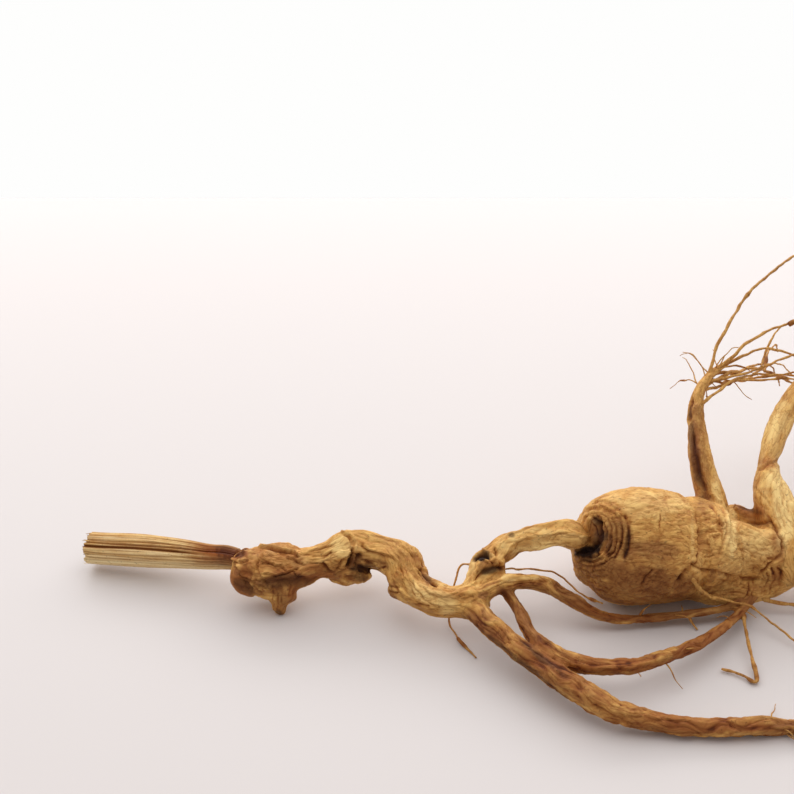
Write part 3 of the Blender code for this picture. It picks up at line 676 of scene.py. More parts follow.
rightLegRoute = ((20.6, -1.4, 7.2, 3.7), (20.4, 1.6, 9.5, 3.5), (19.3, 4.9, 12.0, 3.1),
                 (18.9, 7.8, 14.0, 2.5), (19.3, 10.6, 15.2, 1.75), (19.6, 12.2, 15.9, 1.6),
                 (20.9, 14.9, 17.0, 1.9), (22.3, 17.6, 18.2, 2.0), (24.2, 20.5, 19.7, 1.95),
                 (26.4, 23.4, 21.2, 1.8), (29.0, 26.8, 22.6, 1.6), (32.2, 30.4, 23.4, 1.3),
                 (37.0, 34.0, 23.2, 1.0), (42.0, 37.0, 22.0, 0.7))
bridgeRoute = ((12.1, 5.4, 8.0, 1.8), (14.0, 7.0, 9.1, 1.75), (16.0, 6.0, 9.1, 1.8),
               (18.0, 4.4, 8.9, 1.9), (20.2, 2.6, 8.6, 1.9))

leg = {
    "spacing": 0.4,
    "sides": 64,
    "groove": (0.5, 0.2, 0.55),              # down the front: angle, width, depth
    "ribs": ((0.12, 5, 0.0, 0.0),),
    "fade": (22.0, 30.0),                    # both are gone past this stretch
}


def bodyForm(s, a):
    # Belts that sway round the body, and slow lobes; the waist is deepest in front
    relief = waves(body["lobes"], s, a)
    front, reach, least = body["waistFront"]
    share = least + (1 - least) * hill(a, front, reach)
    for place, sway, phase, width, height in body["belts"]:
        relief = relief + share * height * hill(s, place + sway * np.sin(a + phase), width)
        share = 1.0
    return relief


def legForm(s, a):
    angle, width, depth = leg["groove"]
    start, stop = leg["fade"]
    groove = depth * hill(np.sin((a - angle) / 2), 0, width)
    return (waves(leg["ribs"], s, a) - groove) * np.clip((stop - s) / (stop - start), 0, 1)


def sinkPucker(grid):
    # Presses a round dish into the shoulder where the neck enters, against its facing
    edge, full = body["puckerEdge"]
    share = eased(-distanceFrom(grid, body["pucker"]), -edge, -full)
    return grid - share[..., None] * np.array(body["puckerFacing"]) * body["puckerDepth"]


def bodySkin(a, r, grain, p):
    height, crease, tone = wrinkledSkin(body, grain, p)
    far = distanceFrom(p, body["pucker"])
    size, seed, strength = body["ringWaver"]
    turn = far / body["ringSpacing"] + strength * noise(p / size, seed)
    start, full, fading, gone = body["ringBand"]
    band = eased(far, start, full) * (1 - eased(far, fading, gone))
    ring = hill(np.sin(np.pi * turn), 0, body["ringWidth"]) * band * patchy(p, *body["ringGaps"])
    # the rings and girdles are darkened in their valleys with painted shade
    height, crease = height - body["ringDepth"] * ring, crease + body["ringDark"] * ring
    hidden = eased(np.arccos(np.cos(a - body["seenAngle"])), *body["hiddenFrom"])
    girdle = hidden * creases(grain, *body["girdles"]) * patchy(p, *body["girdlePatches"])
    height = height * (1 + body["hiddenHeight"] * hidden) - body["girdleDepth"] * girdle
    crease = crease * (1 + body["hiddenCrease"] * hidden) + body["girdleDark"] * girdle
    size, seed, strength, browner = body["hiddenMottle"]
    mottle = strength * noise(grain / np.array(size), seed) + browner
    return height, crease, tone + hidden * mottle


bodyLimbs = {
    "body": followRoute(body["route"], body["spacing"], unit=body["unit"], sink=body["sink"]),
    "tail": followRoute(tailRoute, leg["spacing"]),
    "underLobe": followRoute(underLobeRoute, leg["spacing"]),
    "bridge": followRoute(bridgeRoute, leg["spacing"]),
    "leftLeg": followRoute(leftLegRoute, leg["spacing"], up=forward),
    "rightLeg": followRoute(rightLegRoute, leg["spacing"], up=forward),
}
bodyForms = {"body": bodyForm, "leftLeg": legForm, "rightLeg": legForm}
bodySkins = {"body": bodySkin, "underLobe": bodySkin, "leftLeg": legSkin, "rightLeg": legSkin,
             "bridge": legSkin, "tail": legSkin}
skinGrids = [sweep(limb, body["sides"] if name == "body" else leg["sides"],
                   bodyForms.get(name, armForm)) for name, limb in bodyLimbs.items()]
skinGrids[0] = sinkPucker(skinGrids[0])
rootBody = growTogether("rootBody", skinGrids, body["voxel"])
finishSkin(rootBody, bodyLimbs, bodySkins, body)
print("rootBody faces", len(rootBody.data.polygons))

# The rhizome with the bud and the old stem scars, the neck and the three side roots
rhizome = {
    "unit": 2.9,
    "route": ((-60.4, 0.2, 5.4, 0.5), (-58.4, -0.4, 5.3, 0.94), (-55.0, -1.6, 5.0, 1.3),
              (-51.6, -1.8, 5.5, 1.05), (-48.6, -1.1, 6.4, 0.9), (-46.0, -0.3, 6.6, 1.02),
              (-43.4, 1.0, 6.6, 1.26), (-41.2, 1.2, 7.0, 0.98), (-38.2, 0.2, 7.0, 0.95),
              (-35.6, -1.6, 6.5, 1.04), (-34.5, -4.5, 5.4, 0.99), (-32.2, -7.1, 5.2, 0.87),
              (-29.0, -8.2, 5.1, 0.8), (-26.0, -8.3, 5.2, 0.84), (-23.8, -9.6, 5.0, 0.6)),
    "voxel": 0.192,
    "spacing": 0.4,
    "sides": 64,
    "forkRounds": 10,
    "waves": ((0.16, 6, 0.15, 0.0), (0.1, 3, 0.5, 0.0), (0.12, 0, 1.3, 0.0)),
    "valleys": ((1.0, 9.0, 51, 0.3, None, 0.15, 0.22), (0.5, 4.0, 52, 0.25, None, 0.12, 0.28)),
    "pebbles": ((0.45, 0.45, 0.8), 57, 0.05, 0.12),
    "swells": (1.6, 53, 0.16),
    "blotches": ((3.0, 54, 0.4),),
    "streaks": (((0.8, 0.8, 12.0), 58, 0.45),),
    "shade": -0.05,
    # Where old stems left rough scars: place and reach
    "knots": (((-44.4, -0.4, 7.0), 4.2), ((-33.0, -3.4, 7.4), 2.6), ((-36.0, -5.0, 4.6), 3.0),
              ((-23.0, -3.4, 8.0), 3.2), ((-55.5, -2.2, 5.0), 5.5)),
    # Where the wrinkles are fainter: place, reach and how much, and the share of the reach
    # in which that is so in full
    "calm": (((-56.0, -1.5, 5.0), 6.5, 0.6), ((-38.4, 0.2, 7.6), 5.0, 0.6),
             ((-44.6, 0.8, 8.0), 3.2, 0.35)),
    "calmCore": 0.6,
    # Creases in the same columns as the body's; their darkness is painted shade in the creases, hollows,
    # notches and the gaps between the side roots
    "strokes": (
        # the torn foot of the stub on the bud's shoulder
        ((224, 548, 234, 549, 246, 548), 1.8, 0.3, 0.95, 0.5),
        ((226, 555, 234, 557, 242, 553), 1.6, 0.3, 0.9, 0.4),
        ((231, 561, 238, 563, 246, 560), 1.0, 0.2, 0.7, 0.3),
        # between bud and first knot: pale ribs, and a shaded edge below
        ((312, 556, 321, 555, 331, 552), 0.9, 0.35, 0.9, 0.1),
        ((310, 550, 320, 549, 331, 545), 0.9, 0.3, 0.7, 0.1),
        ((305, 562, 316, 564, 325, 566), 0.9, 0.25, 0.6, 0.1),
        ((300, 580, 312, 580, 326, 579), 2.5, 0.3, 0.75, 0.0),
        # the first knot, its dark hollow and ragged lower lip
        ((323, 565, 329, 571, 334, 573, 339, 566, 345, 560, 352, 556), 1.7, 0.6, 0.9, 0.15),
        ((352, 548, 354, 554, 352, 560, 348, 567), 1.7, 0.9, 1.0, 0.2),
        ((359, 556, 357, 564, 360, 571), 1.8, 0.7, 0.9, 0.0),
        ((356, 564, 364, 569, 374, 571, 384, 567), 1.8, 0.3, 1.0, 0.1),
        ((362, 560, 369, 563, 374, 566), 1.3, 0.4, 0.8, 0.0),
        ((344, 533, 350, 537, 354, 544, 354, 551), 1.3, 0.5, 0.6, 0.3),
        ((334, 576, 342, 572, 350, 569, 357, 572), 1.2, 0.4, 0.7, 0.2),
        ((362, 571, 366, 574, 370, 571), 1.5, 0.1, 0.8, 0.0),
        ((345, 578, 352, 576, 360, 578), 1.2, 0.3, 0.6, 0.1),
        # the band's lower edge and the dark skin under it
        ((362, 545, 368, 552, 380, 555, 392, 559, 399, 566, 403, 575), 1.6, 0.5, 0.75, 0.25),
        ((366, 560, 374, 562, 384, 563), 1.6, 0.3, 0.6, 0.1),
        # fibres that run along the bend
        ((355, 535, 372, 541, 390, 545, 402, 553, 409, 565, 417, 582, 430, 595, 446, 600), 0.8, 0.14,
          0.35, 0.08),
        ((352, 531, 374, 536, 394, 541, 406, 549), 0.7, 0.15, 0.4, 0.05),
        ((404, 560, 408, 574, 414, 588, 424, 600, 440, 607, 460, 606), 0.8, 0.25, 0.6, 0.1),
        ((399, 568, 402, 582, 409, 595, 420, 605, 436, 612), 0.8, 0.22, 0.5, 0.08),
        ((420, 585, 430, 594, 444, 597, 458, 592, 472, 585), 0.7, 0.2, 0.45, 0.08),
        ((425, 583, 436, 589, 450, 590, 466, 582, 482, 577), 0.7, 0.18, 0.4, 0.05),
        ((392, 582, 396, 590, 402, 597), 1.8, 0.3, 0.8, 0.1),
        ((388, 586, 393, 588, 398, 587), 1.0, 0.35, 0.8, 0.1),
        ((389, 592, 395, 593, 400, 592), 1.0, 0.35, 0.8, 0.1),
        # the second knot's scar and notch
        ((408, 549, 414, 556, 417, 564, 421, 569), 1.1, 0.4, 0.7, 0.25),
        ((422, 568, 424, 574, 428, 579, 436, 584), 1.8, 0.8, 1.0, 0.0),
        ((419, 572, 422, 578, 428, 583), 1.2, 0.4, 0.8, 0.0),
        ((419, 566, 425, 568, 429, 571), 1.0, -0.35, 0.0, 0.0),
        # the neck's node: pit, collar ridge, saddle
        ((474, 559, 477, 554, 482, 552, 487, 555), 2.5, 1.0, 1.0, 0.0),
        ((480, 559, 484, 560, 487, 564), 1.6, 0.6, 0.9, 0.0),
        ((482, 548, 490, 552, 496, 558, 499, 564), 1.2, -0.4, 0.0, 0.0),
        ((488, 556, 492, 562, 494, 569), 1.6, 0.4, 0.85, 0.0),
        ((477, 577, 485, 572, 494, 569, 503, 568), 2.2, 0.5, 0.9, 0.0),
        ((468, 575, 474, 567, 477, 561), 1.0, 0.25, 0.5, 0.15),
        ((519, 629, 527, 641, 537, 652, 549, 660, 562, 667, 577, 672), 2.2, 0.35, 1.0, 0.0),
        ((494, 549, 497, 556, 501, 563, 503, 570), 1.2, 0.35, 0.8, 0.15),
        # the bud's scales
        ((261, 547, 270, 549, 280, 551, 289, 552, 297, 556), 1.1, 0.55, 0.8, 0.45),
        ((288, 557, 296, 561, 304, 564), 0.9, 0.4, 0.8, 0.2),
        ((232, 560, 236, 567, 242, 575, 250, 581, 259, 585, 268, 588), 1.1, 0.45, 0.6, 0.5),
        ((263, 555, 258, 562, 258, 570, 262, 577, 266, 583), 1.0, 0.35, 0.55, 0.4),
        ((263, 564, 272, 564, 281, 566, 286, 571), 1.0, 0.4, 0.75, 0.3),
        ((265, 574, 274, 577, 284, 575, 291, 571, 297, 568), 1.0, 0.4, 0.75, 0.3),
        ((293, 571, 297, 577, 301, 575), 0.9, 0.3, 0.8, 0.2),
        ((264, 581, 272, 582, 282, 582, 293, 580, 302, 580, 316, 579), 3.4, 0.4, 0.5, 0.1),
        ((251, 578, 254, 586, 262, 593), 0.9, 0.25, 0.5, 0.1),
        ((241, 574, 246, 582, 253, 590), 0.9, 0.2, 0.5, 0.1),
        ((272, 588, 274, 600), 0.8, 0.2, 0.7, 0.1),
        ((277, 588, 278, 604), 0.8, 0.2, 0.7, 0.1),
        ((281, 589, 281, 602), 0.8, 0.2, 0.6, 0.1),
        ((291, 586, 290, 597), 1.2, 0.2, 0.6, 0.1),
        ((502, 592, 505, 602, 509, 612), 3.0, 0.2, 0.7, 0.0),
    ),
    # Short creases in the same columns as the body's; their darkness is painted shade
    "dashes": (
        (265, 566, 32, 20, 12, 20, 44, 8, 0.2, 0.7), (262, 572, 28, 20, 75, 20, 16, 6, 0.16, 0.6),
        (252, 588, 16, 8, 35, 16, 12, 7, 0.14, 0.6), (282, 600, 12, 12, 85, 12, 12, 7, 0.14, 0.6),
        (318, 562, 18, 14, -4, 12, 22, 10, 0.2, 0.65), (345, 560, 14, 18, 20, 35, 22, 7, 0.2, 0.7),
        (380, 548, 26, 10, 14, 6, 20, 14, 0.1, 0.35), (408, 570, 16, 22, 62, 10, 26, 12, 0.18, 0.6),
        (440, 600, 30, 12, 12, 12, 34, 14, 0.18, 0.6), (472, 590, 26, 14, -22, 12, 26, 12, 0.16, 0.55),
        (492, 565, 14, 18, -50, 16, 20, 8, 0.2, 0.6), (545, 540, 50, 8, -8, 8, 30, 12, 0.14, 0.5),
        (530, 585, 44, 5, -4, 8, 20, 11, 0.14, 0.5), (530, 655, 30, 28, 42, 8, 26, 12, 0.16, 0.55),
        (640, 715, 70, 9, 10, 6, 40, 12, 0.16, 0.55),
    ),
    # The same columns as the body's patches. Brown is partly the skin's own colour and partly painted
    # shade under the bud, the knots and the bulb and on the side roots' lower sides; dark is painted
    # shade in the hollows, the neck's pit and between the side roots, besides a real stain at the stub's
    # foot; pale is partly painted light on the neck's underside and painted highlights on the first knot
    # and the side roots
    "patches": {
        "brown": ((272, 582, 34, 17, 0, 0.85), (236, 576, 8, 16, 20, 0.9), (262, 567, 16, 10, 0, 0.35),
            (250, 588, 18, 12, -30, 0.6), (282, 600, 14, 16, 0, 0.7), (306, 583, 18, 8, -8, 0.9),
            (318, 577, 26, 8, -4, 1.0), (358, 564, 9, 12, 0, 0.9), (340, 570, 16, 7, 0, 0.6),
            (374, 564, 16, 8, 5, 0.9), (382, 547, 32, 10, 14, 0.35), (398, 588, 12, 16, -20, 0.8),
            (418, 606, 26, 6, 30, 0.6), (486, 566, 13, 8, 0, 1.0), (358, 577, 14, 6, 0, 0.9),
            (484, 594, 6, 5, 0, 0.8), (520, 625, 5, 14, -35, 0.7), (520, 545, 14, 5, 0, 0.5),
            (528, 536, 16, 4, -8, 0.6), (578, 601, 26, 8, 36, 0.9), (650, 617, 56, 6, 0, 0.9),
            (505, 600, 5, 16, -22, 0.8), (530, 625, 30, 14, 40, 0.9), (480, 640, 26, 20, 40, 0.8),
            (540, 670, 40, 22, 35, 0.6), (690, 728, 60, 7, 0, 0.8), (620, 671, 50, 5, 0, 0.7),
            (700, 655, 40, 12, -30, 0.7)),
        "dark": ((281, 581, 24, 7, -3, 0.55), (246, 588, 14, 6, 40, 0.55), (241, 550, 7, 7, 0, 0.45),
            (278, 614, 5, 4, 0, 0.6), (304, 582, 14, 5, -6, 0.3), (354, 561, 6, 11, 15, 0.35),
            (366, 570, 13, 5, 8, 0.7), (367, 573, 6, 3, 0, 0.5), (427, 577, 6, 3, 45, 0.5),
            (482, 556, 10, 6, -20, 1.0), (490, 571, 15, 4, -8, 0.8), (363, 577, 9, 6, 0, 0.45),
            (540, 655, 30, 4, 40, 0.6), (519, 663, 60, 4, 39, 0.5), (511, 535, 4, 3, 0, 0.6)),
        "pale": ((276, 549, 22, 5, 5, 0.35), (341, 545, 10, 13, 20, 0.4), (470, 568, 5, 12, 40, 0.6),
            (430, 598, 40, 12, 20, 0.5), (340, 579, 8, 4, 0, 0.4), (572, 541, 26, 9, 0, 0.4),
            (542, 549, 40, 5, 0, 0.9), (535, 540, 34, 12, -8, 0.7), (500, 586, 30, 5, -8, 0.5),
            (522, 577, 30, 4, 0, 0.8), (560, 645, 28, 3, 33, 0.6)),
        "rust": ((268, 560, 36, 18, 0, 0.6), (283, 580, 26, 8, -3, 0.6), (240, 583, 10, 12, 20, 0.8),
            (234, 576, 6, 14, 20, 0.45), (280, 546, 22, 5, 5, 0.35), (241, 551, 12, 8, 0, 1.0),
            (246, 592, 14, 9, 40, 0.7), (292, 594, 7, 10, 0, 0.6), (312, 568, 14, 6, 0, 0.7),
            (314, 578, 22, 6, -4, 0.7), (414, 557, 7, 8, -30, 0.45), (430, 578, 10, 6, 40, 0.6),
            (440, 593, 20, 6, 20, 0.3), (592, 610, 16, 5, 35, 0.45), (690, 722, 100, 11, 4, 0.6),
            (560, 672, 76, 13, 38, 0.5), (610, 665, 70, 9, 2, 0.65), (702, 642, 50, 8, -33, 0.7),
            (600, 612, 60, 8, 8, 0.4)),
    },
}
neck = {
    "unit": 2.0,
    "route": ((-27.4, -8.2, 5.2, 0.8), (-26.1, -7.1, 5.5, 0.9), (-24.8, -4.8, 6.4, 1.0),
              (-23.4, -2.8, 7.4, 1.1), (-21.8, -1.3, 8.3, 0.95), (-19.3, 0.1, 9.3, 0.92),
              (-15.8, -0.3, 10.6, 0.96), (-13.0, -0.8, 11.5, 1.03), (-11.6, -1.2, 11.6, 1.05),
              (-10.5, -1.5, 11.4, 1.0), (-9.6, -1.2, 10.8, 0.66), (-8.9, -0.5, 10.0, 0.3)),
}
upperArmRoute = ((-27.0, -8.6, 5.3, 1.5), (-23.9, -7.8, 6.5, 1.4), (-20.4, -6.0, 6.8, 1.3),
                 (-17.5, -5.6, 6.6, 1.25), (-15.0, -5.8, 6.0, 1.15), (-12.9, -6.7, 5.2, 1.05),
                 (-10.9, -7.4, 4.3, 1.0), (-8.8, -8.1, 3.2, 0.9), (-6.6, -8.3, 2.3, 0.76),
                 (-3.7, -8.3, 1.8, 0.66), (0.8, -7.8, 1.7, 0.63), (4.2, -7.4, 1.9, 0.62),
                 (7.8, -7.0, 2.1, 0.62), (11.3, -6.3, 2.4, 0.66), (15.8, -4.2, 3.2, 0.9))
middleArmRoute = ((-21.9, -6.0, 6.3, 0.8), (-21.0, -6.9, 5.9, 0.88), (-20.2, -8.0, 5.2, 0.9),
                  (-19.1, -10.6, 4.8, 0.92), (-18.5, -13.5, 4.6, 1.0), (-17.2, -16.2, 4.5, 1.2),
                  (-15.2, -18.3, 4.4, 1.32), (-12.6, -19.9, 4.3, 1.3), (-9.4, -20.6, 4.2, 1.2),
                  (-6.7, -20.5, 4.1, 1.12), (-3.9, -20.0, 4.0, 1.03), (3.6, -16.1, 3.5, 0.95),
                  (8.8, -11.8, 2.9, 0.82), (12.4, -7.9, 2.4, 0.72), (14.0, -6.2, 2.6, 0.75),
                  (15.6, -4.2, 3.2, 0.9))
lowerArmRoute = ((-27.2, -7.7, 5.1, 1.9), (-25.2, -10.3, 5.0, 1.8), (-23.6, -13.0, 4.9, 1.7),
                 (-21.9, -15.2, 4.7, 1.68), (-20.2, -17.3, 4.5, 1.65), (-17.9, -19.5, 4.2, 1.65),
                 (-15.4, -21.9, 3.9, 1.72), (-12.7, -24.3, 3.5, 1.8), (-9.4, -26.7, 2.9, 1.7),
                 (-7.0, -27.6, 2.5, 1.6), (-1.2, -28.4, 1.5, 1.42), (4.5, -28.8, 1.35, 1.38),
                 (10.3, -28.6, 1.35, 1.35), (14.8, -28.5, 1.1, 1.03), (21.0, -27.9, 1.1, 0.95),
                 (28.0, -26.4, 1.0, 0.8), (35.0, -24.2, 0.9, 0.66), (41.0, -22.6, 0.8, 0.5))

# Lumps of the bud and the knots: centre, half sizes, turn in degrees
lumps = (
    ((-56.6, -1.0, 5.6), (3.6, 3.0, 2.9), (0, 0, 12)),      # the bud's middle
    ((-53.0, -0.2, 7.3), (3.7, 2.2, 1.4), (0, 8, -6)),      # upper scale
    ((-58.1, -2.0, 4.1), (3.0, 2.5, 2.3), (0, 34, 0)),      # lower left scale
    ((-53.1, -3.8, 3.2), (2.25, 1.9, 2.5), (0, 0, 0)),      # shoulder of the small bud
    ((-53.6, -5.0, 1.4), (1.02, 1.1, 1.85), (12, -6, 0)),   # its pointed tip
    ((-44.7, 1.0, 7.5), (2.5, 2.4, 2.2), (0, -40, 0)),      # first knot
    ((-43.6, -1.0, 4.4), (3.6, 1.9, 1.7), (0, 6, 0)),       # its ragged lower lip
    ((-34.4, -1.8, 8.0), (2.0, 1.7, 1.5), (0, 20, 0)),      # second knot
    ((-32.9, -4.0, 7.1), (1.3, 1.2, 0.8), (0, 40, 0)),      # the notched scar below it
    ((-35.9, -4.9, 5.0), (1.9, 1.6, 2.2), (0, 15, 0)),      # jagged heel of the bend
    ((-22.6, -3.4, 7.8), (1.9, 1.8, 1.9), (0, 20, 0)),      # collar of the neck
    ((-58.9, 1.1, 5.9), (1.8, 1.5, 1.1), (0, 0, 12)),       # shoulder round the stub's foot
)

lumpShape = {
    "rings": 40,
    "sides": 64,
    "pole": 0.04,                            # radians left open at either end, then capped
    "swell": 0.16,
    "swellTurns": 1.7,
}


def ball(centre, halfSizes, turn, seed):
    # point(u, v) = turned (half sizes * (1 + noise) * (cos u, sin u cos v, sin u sin v))
    rings, sides, pole = lumpShape["rings"], lumpShape["sides"], lumpShape["pole"]
    u = np.linspace(pole, np.pi - pole, rings)[:, None]
    v = np.linspace(0, 2 * np.pi, sides, endpoint=False)[None, :]
    unit = np.stack([np.cos(u) + 0 * v, np.sin(u) * np.cos(v), np.sin(u) * np.sin(v)], axis=-1)
    bumps = noise(unit.reshape(-1, 3) * lumpShape["swellTurns"], seed).reshape(rings, sides, 1)
    shape = unit * (1 + lumpShape["swell"] * bumps) * np.array(halfSizes)
    (cx, cy, cz), (sx, sy, sz) = np.cos(np.radians(turn)), np.sin(np.radians(turn))
    aboutX = np.array([[1, 0, 0], [0, cx, -sx], [0, sx, cx]])
    aboutY = np.array([[cy, 0, sy], [0, 1, 0], [-sy, 0, cy]])
    aboutZ = np.array([[cz, -sz, 0], [sz, cz, 0], [0, 0, 1]])
    return shape @ (aboutZ @ aboutY @ aboutX).T + np.array(centre) + tableShift


def stemForm(s, a):
    return waves(rhizome["waves"], s, a)


def stemSkin(a, r, grain, p):
    height, crease, tone = wrinkledSkin(rhizome, grain, p)
    calm = 1.0
    for place, reach, share in rhizome["calm"]:
        core = rhizome["calmCore"] * reach
        calm = calm - share * eased(-distanceFrom(p, place), -reach, -core)
    return calm * height, calm * crease, tone


stemLimbs = {
    "rhizome": followRoute(rhizome["route"], rhizome["spacing"], unit=rhizome["unit"]),
    "neck": followRoute(neck["route"], rhizome["spacing"], unit=neck["unit"]),
    "upperArm": followRoute(upperArmRoute, rhizome["spacing"]),
    "middleArm": followRoute(middleArmRoute, rhizome["spacing"]),
    "lowerArm": followRoute(lowerArmRoute, rhizome["spacing"]),
}
stemForms = {"rhizome": stemForm, "neck": stemForm}
stemSkins = {"rhizome": stemSkin, "neck": stemSkin, "upperArm": armSkin, "middleArm": armSkin,
             "lowerArm": armSkin}
skinGrids = [sweep(limb, rhizome["sides"], stemForms.get(name, armForm))
             for name, limb in stemLimbs.items()]
skinGrids += [ball(*lump, seed) for seed, lump in enumerate(lumps)]
rootStem = growTogether("rootStem", skinGrids, rhizome["voxel"])
finishSkin(rootStem, stemLimbs, stemSkins, rhizome)
print("rootStem faces", len(rootStem.data.polygons))

# The dry stub of the leaf stalk
stalk = {
    "unit": 2.4,
    "sides": 180,
    "spacing": 0.25,
    "grooves": (-62, -46, -30, -17, -4, 8, 19, 31, 58, 69, 80, 92, 104, 117, 131, 150, 172, 195,
                218, 240, 262, 282),
    "grooveDepth": 0.34,
    "grooveUneven": 0.4,                     # the share of that depth that differs
    "grooveMix": 3.1,
    "grooveWidth": 0.034,
    "grooveWaver": 0.05,
    "grooveWaviness": 0.25,
    "grooveEnd": (21, 27),                   # grooves fade on this stretch, the split before
    "split": 45,                             # the angle of the deep split, down from the top
    "splitDepth": 0.55,
    "splitWidth": 0.05,
    "splitEnd": (14, 22),
    "ragged": (3.5, 61, 0.35),               # the torn rim: scale, seed, how far
    "raggedReach": 1.2,
    # The sunken pith: share of the rim's radius, and depth in millimetres
    "pith": ((0.08, 1.1), (0.55, 1.0), (0.72, 0.35), (0.88, 0.05)),
    "frays": 60,
    "fraySeed": 7,
    "frayLength": (0.5, 1.25),
    "frayRadii": (0.1, 0.03),
    "frayPoints": 5,
    "fraySpacing": 0.3,
    "frayPlace": (0.5, 1.0),                 # share of the radius
    "frayFoot": 0.6,                         # starts this far inside the cut end
    "fraySides": 5,
    "frayLean": 0.25,
    "shade": -0.03,
    "streakTurns": 6,
    "streakLength": 12,
    "streaks": ((1.0, 62, 0.55), (2.3, 65, 0.35)),    # scale, seed, strength
    "tornSides": (1.2, 63, 1.4),             # the stain's torn edge: scale, seed, reach
    "tornEdge": (0.45, 64, 0.9),
    # the grooves' darkness is painted shade, from their depth below the rim
    "grooveDark": (0.5, 0.85),               # depth for full darkness, the most darkness
    "browning": (12, 21, 0.5),               # from, to, strength: brown towards the bud
    "rusting": (15, 21),
    "staining": (21.2, 22.4, 0.75),
    "front": (30, 60),                       # angle and spread of the stained side
    # the side below is lightened with painted light from the table, and its grooves get less painted
    # shade
    "under": (115, 45),                      # and of the paler side below
    "underPale": 0.75,
    "underClean": 0.45,
    "route": ((-83.4, 6.6, 3.3, 1.02), (-80.9, 6.2, 3.4, 1.03), (-74.8, 5.2, 3.8, 1.06),
              (-68.8, 3.7, 4.4, 0.94), (-64.4, 2.3, 4.9, 0.8), (-61.8, 1.4, 5.5, 0.76),
              (-60.0, 0.8, 5.6, 0.68)),
}


def stalkForm(s, a):
    # Parallel ribs with a groove at each listed angle, waving a little; one splits the stalk
    relief = 0.0
    for turn in stalk["grooves"]:
        waver = stalk["grooveWaver"] * np.sin(stalk["grooveWaviness"] * s + turn)
        uneven = 1 - stalk["grooveUneven"] * (1 - math.sin(stalk["grooveMix"] * turn))
        across = np.sin((a - math.radians(turn) - waver) / 2)
        relief = relief - stalk["grooveDepth"] * uneven * hill(across, 0, stalk["grooveWidth"])
    across = np.sin((a - math.radians(stalk["split"])) / 2)
    split = -stalk["splitDepth"] * hill(across, 0, stalk["splitWidth"])
    relief = relief + split * (1 - eased(s, *stalk["splitEnd"]))
    return relief * (1 - eased(s, *stalk["grooveEnd"]))


def stalkSkin(limb):
    # The ribbed tube with a ragged rim, closed at the cut end by a sunken pith
    sides = stalk["sides"]
    grid = sweep(limb, sides, stalkForm)
    angle = np.linspace(0, 2 * np.pi, sides, endpoint=False)
    circle = np.stack([np.cos(angle), np.sin(angle), 0 * angle], axis=-1)
    scale, seed, strength = stalk["ragged"]
    ragged = strength * noise(scale * circle, seed)
    fade = hill(limb["along"], 0, stalk["raggedReach"])[:, None]
    grid = grid - (ragged[None, :] * fade)[..., None] * limb["tangent"][0]
    centre, run = limb["centre"][0], limb["tangent"][0]
    rim = grid[0] - centre
    cap = np.stack([centre + share * rim + depth * run for share, depth in stalk["pith"]])
    return np.concatenate([cap, grid])


def frayedFibre(limb, rng):
    # A short thin tube that stands out of the cut end
    turn = rng.uniform(0, 2 * math.pi)
    share = rng.uniform(*stalk["frayPlace"]) * stalk["unit"]
    offset = share * (math.cos(turn) * limb["top"][0] + math.sin(turn) * limb["side"][0])
    start = limb["centre"][0] + offset + stalk["frayFoot"] * limb["tangent"][0]
    length = rng.uniform(*stalk["frayLength"])
    lean = np.array([rng.uniform(-stalk["frayLean"], stalk["frayLean"]) for _ in range(3)])
    heading = unitRows(-limb["tangent"][0] + lean)
    course = start + heading * np.linspace(0, length, stalk["frayPoints"])[:, None]
    taper = np.linspace(*stalk["frayRadii"], stalk["frayPoints"])[:, None]
    fibre = followRoute(np.hstack([course - tableShift, taper]), stalk["fraySpacing"])
    return sweep(fibre, stalk["fraySides"])


def stalkValues(points, limb):
    # Painted shade in the grooves, from how far a point lies below the rim, and brown towards
    # the bud; the side below is lightened as painted light and keeps less of the groove shade
    along, angle, outside, radius = locate(points, limb)
    circle = np.stack([np.cos(angle), np.sin(angle)], axis=-1)
    turns = np.hstack([stalk["streakTurns"] * circle, along[:, None] / stalk["streakLength"]])
    front = hill(np.degrees(angle), *stalk["front"])
    under = hill(np.degrees(angle), *stalk["under"])
    start, stop, browning = stalk["browning"]
    tone = sum(strength * noise(scale * turns, seed) for scale, seed, strength in stalk["streaks"])
    tone = tone + stalk["shade"] + browning * eased(along, start, stop) - stalk["underPale"] * under
    sides, sidesSeed, sidesReach = stalk["tornSides"]
    size, seed, reach = stalk["tornEdge"]
    torn = along + sidesReach * noise(turns * np.array([sides, sides, 0.0]), sidesSeed)
    torn = torn + reach * noise(points / size, seed)
    start, stop, staining = stalk["staining"]
    depth, darkest = stalk["grooveDark"]
    return {
        "crease": np.clip(-outside / depth, 0, darkest) * (1 - stalk["underClean"] * under),
        "tone": tone,
        "grain": np.hstack([radius[:, None] * circle, along[:, None]]),
        "stainAndPitShade": staining * eased(torn, start, stop) * front,
        "rust": eased(torn, *stalk["rusting"]) * front,
    }


stalkLimb = followRoute(stalk["route"], stalk["spacing"], unit=stalk["unit"])
rng = random.Random(stalk["fraySeed"])
stubGrids = [stalkSkin(stalkLimb)] + [frayedFibre(stalkLimb, rng) for _ in range(stalk["frays"])]
stemStub = addPiece("stemStub", makeMesh("stemStub", stubGrids))
for key, values in stalkValues(readPoints(stemStub.data), stalkLimb).items():
    storeValues(stemStub.data, key, values)
print("stemStub faces", len(stemStub.data.polygons))

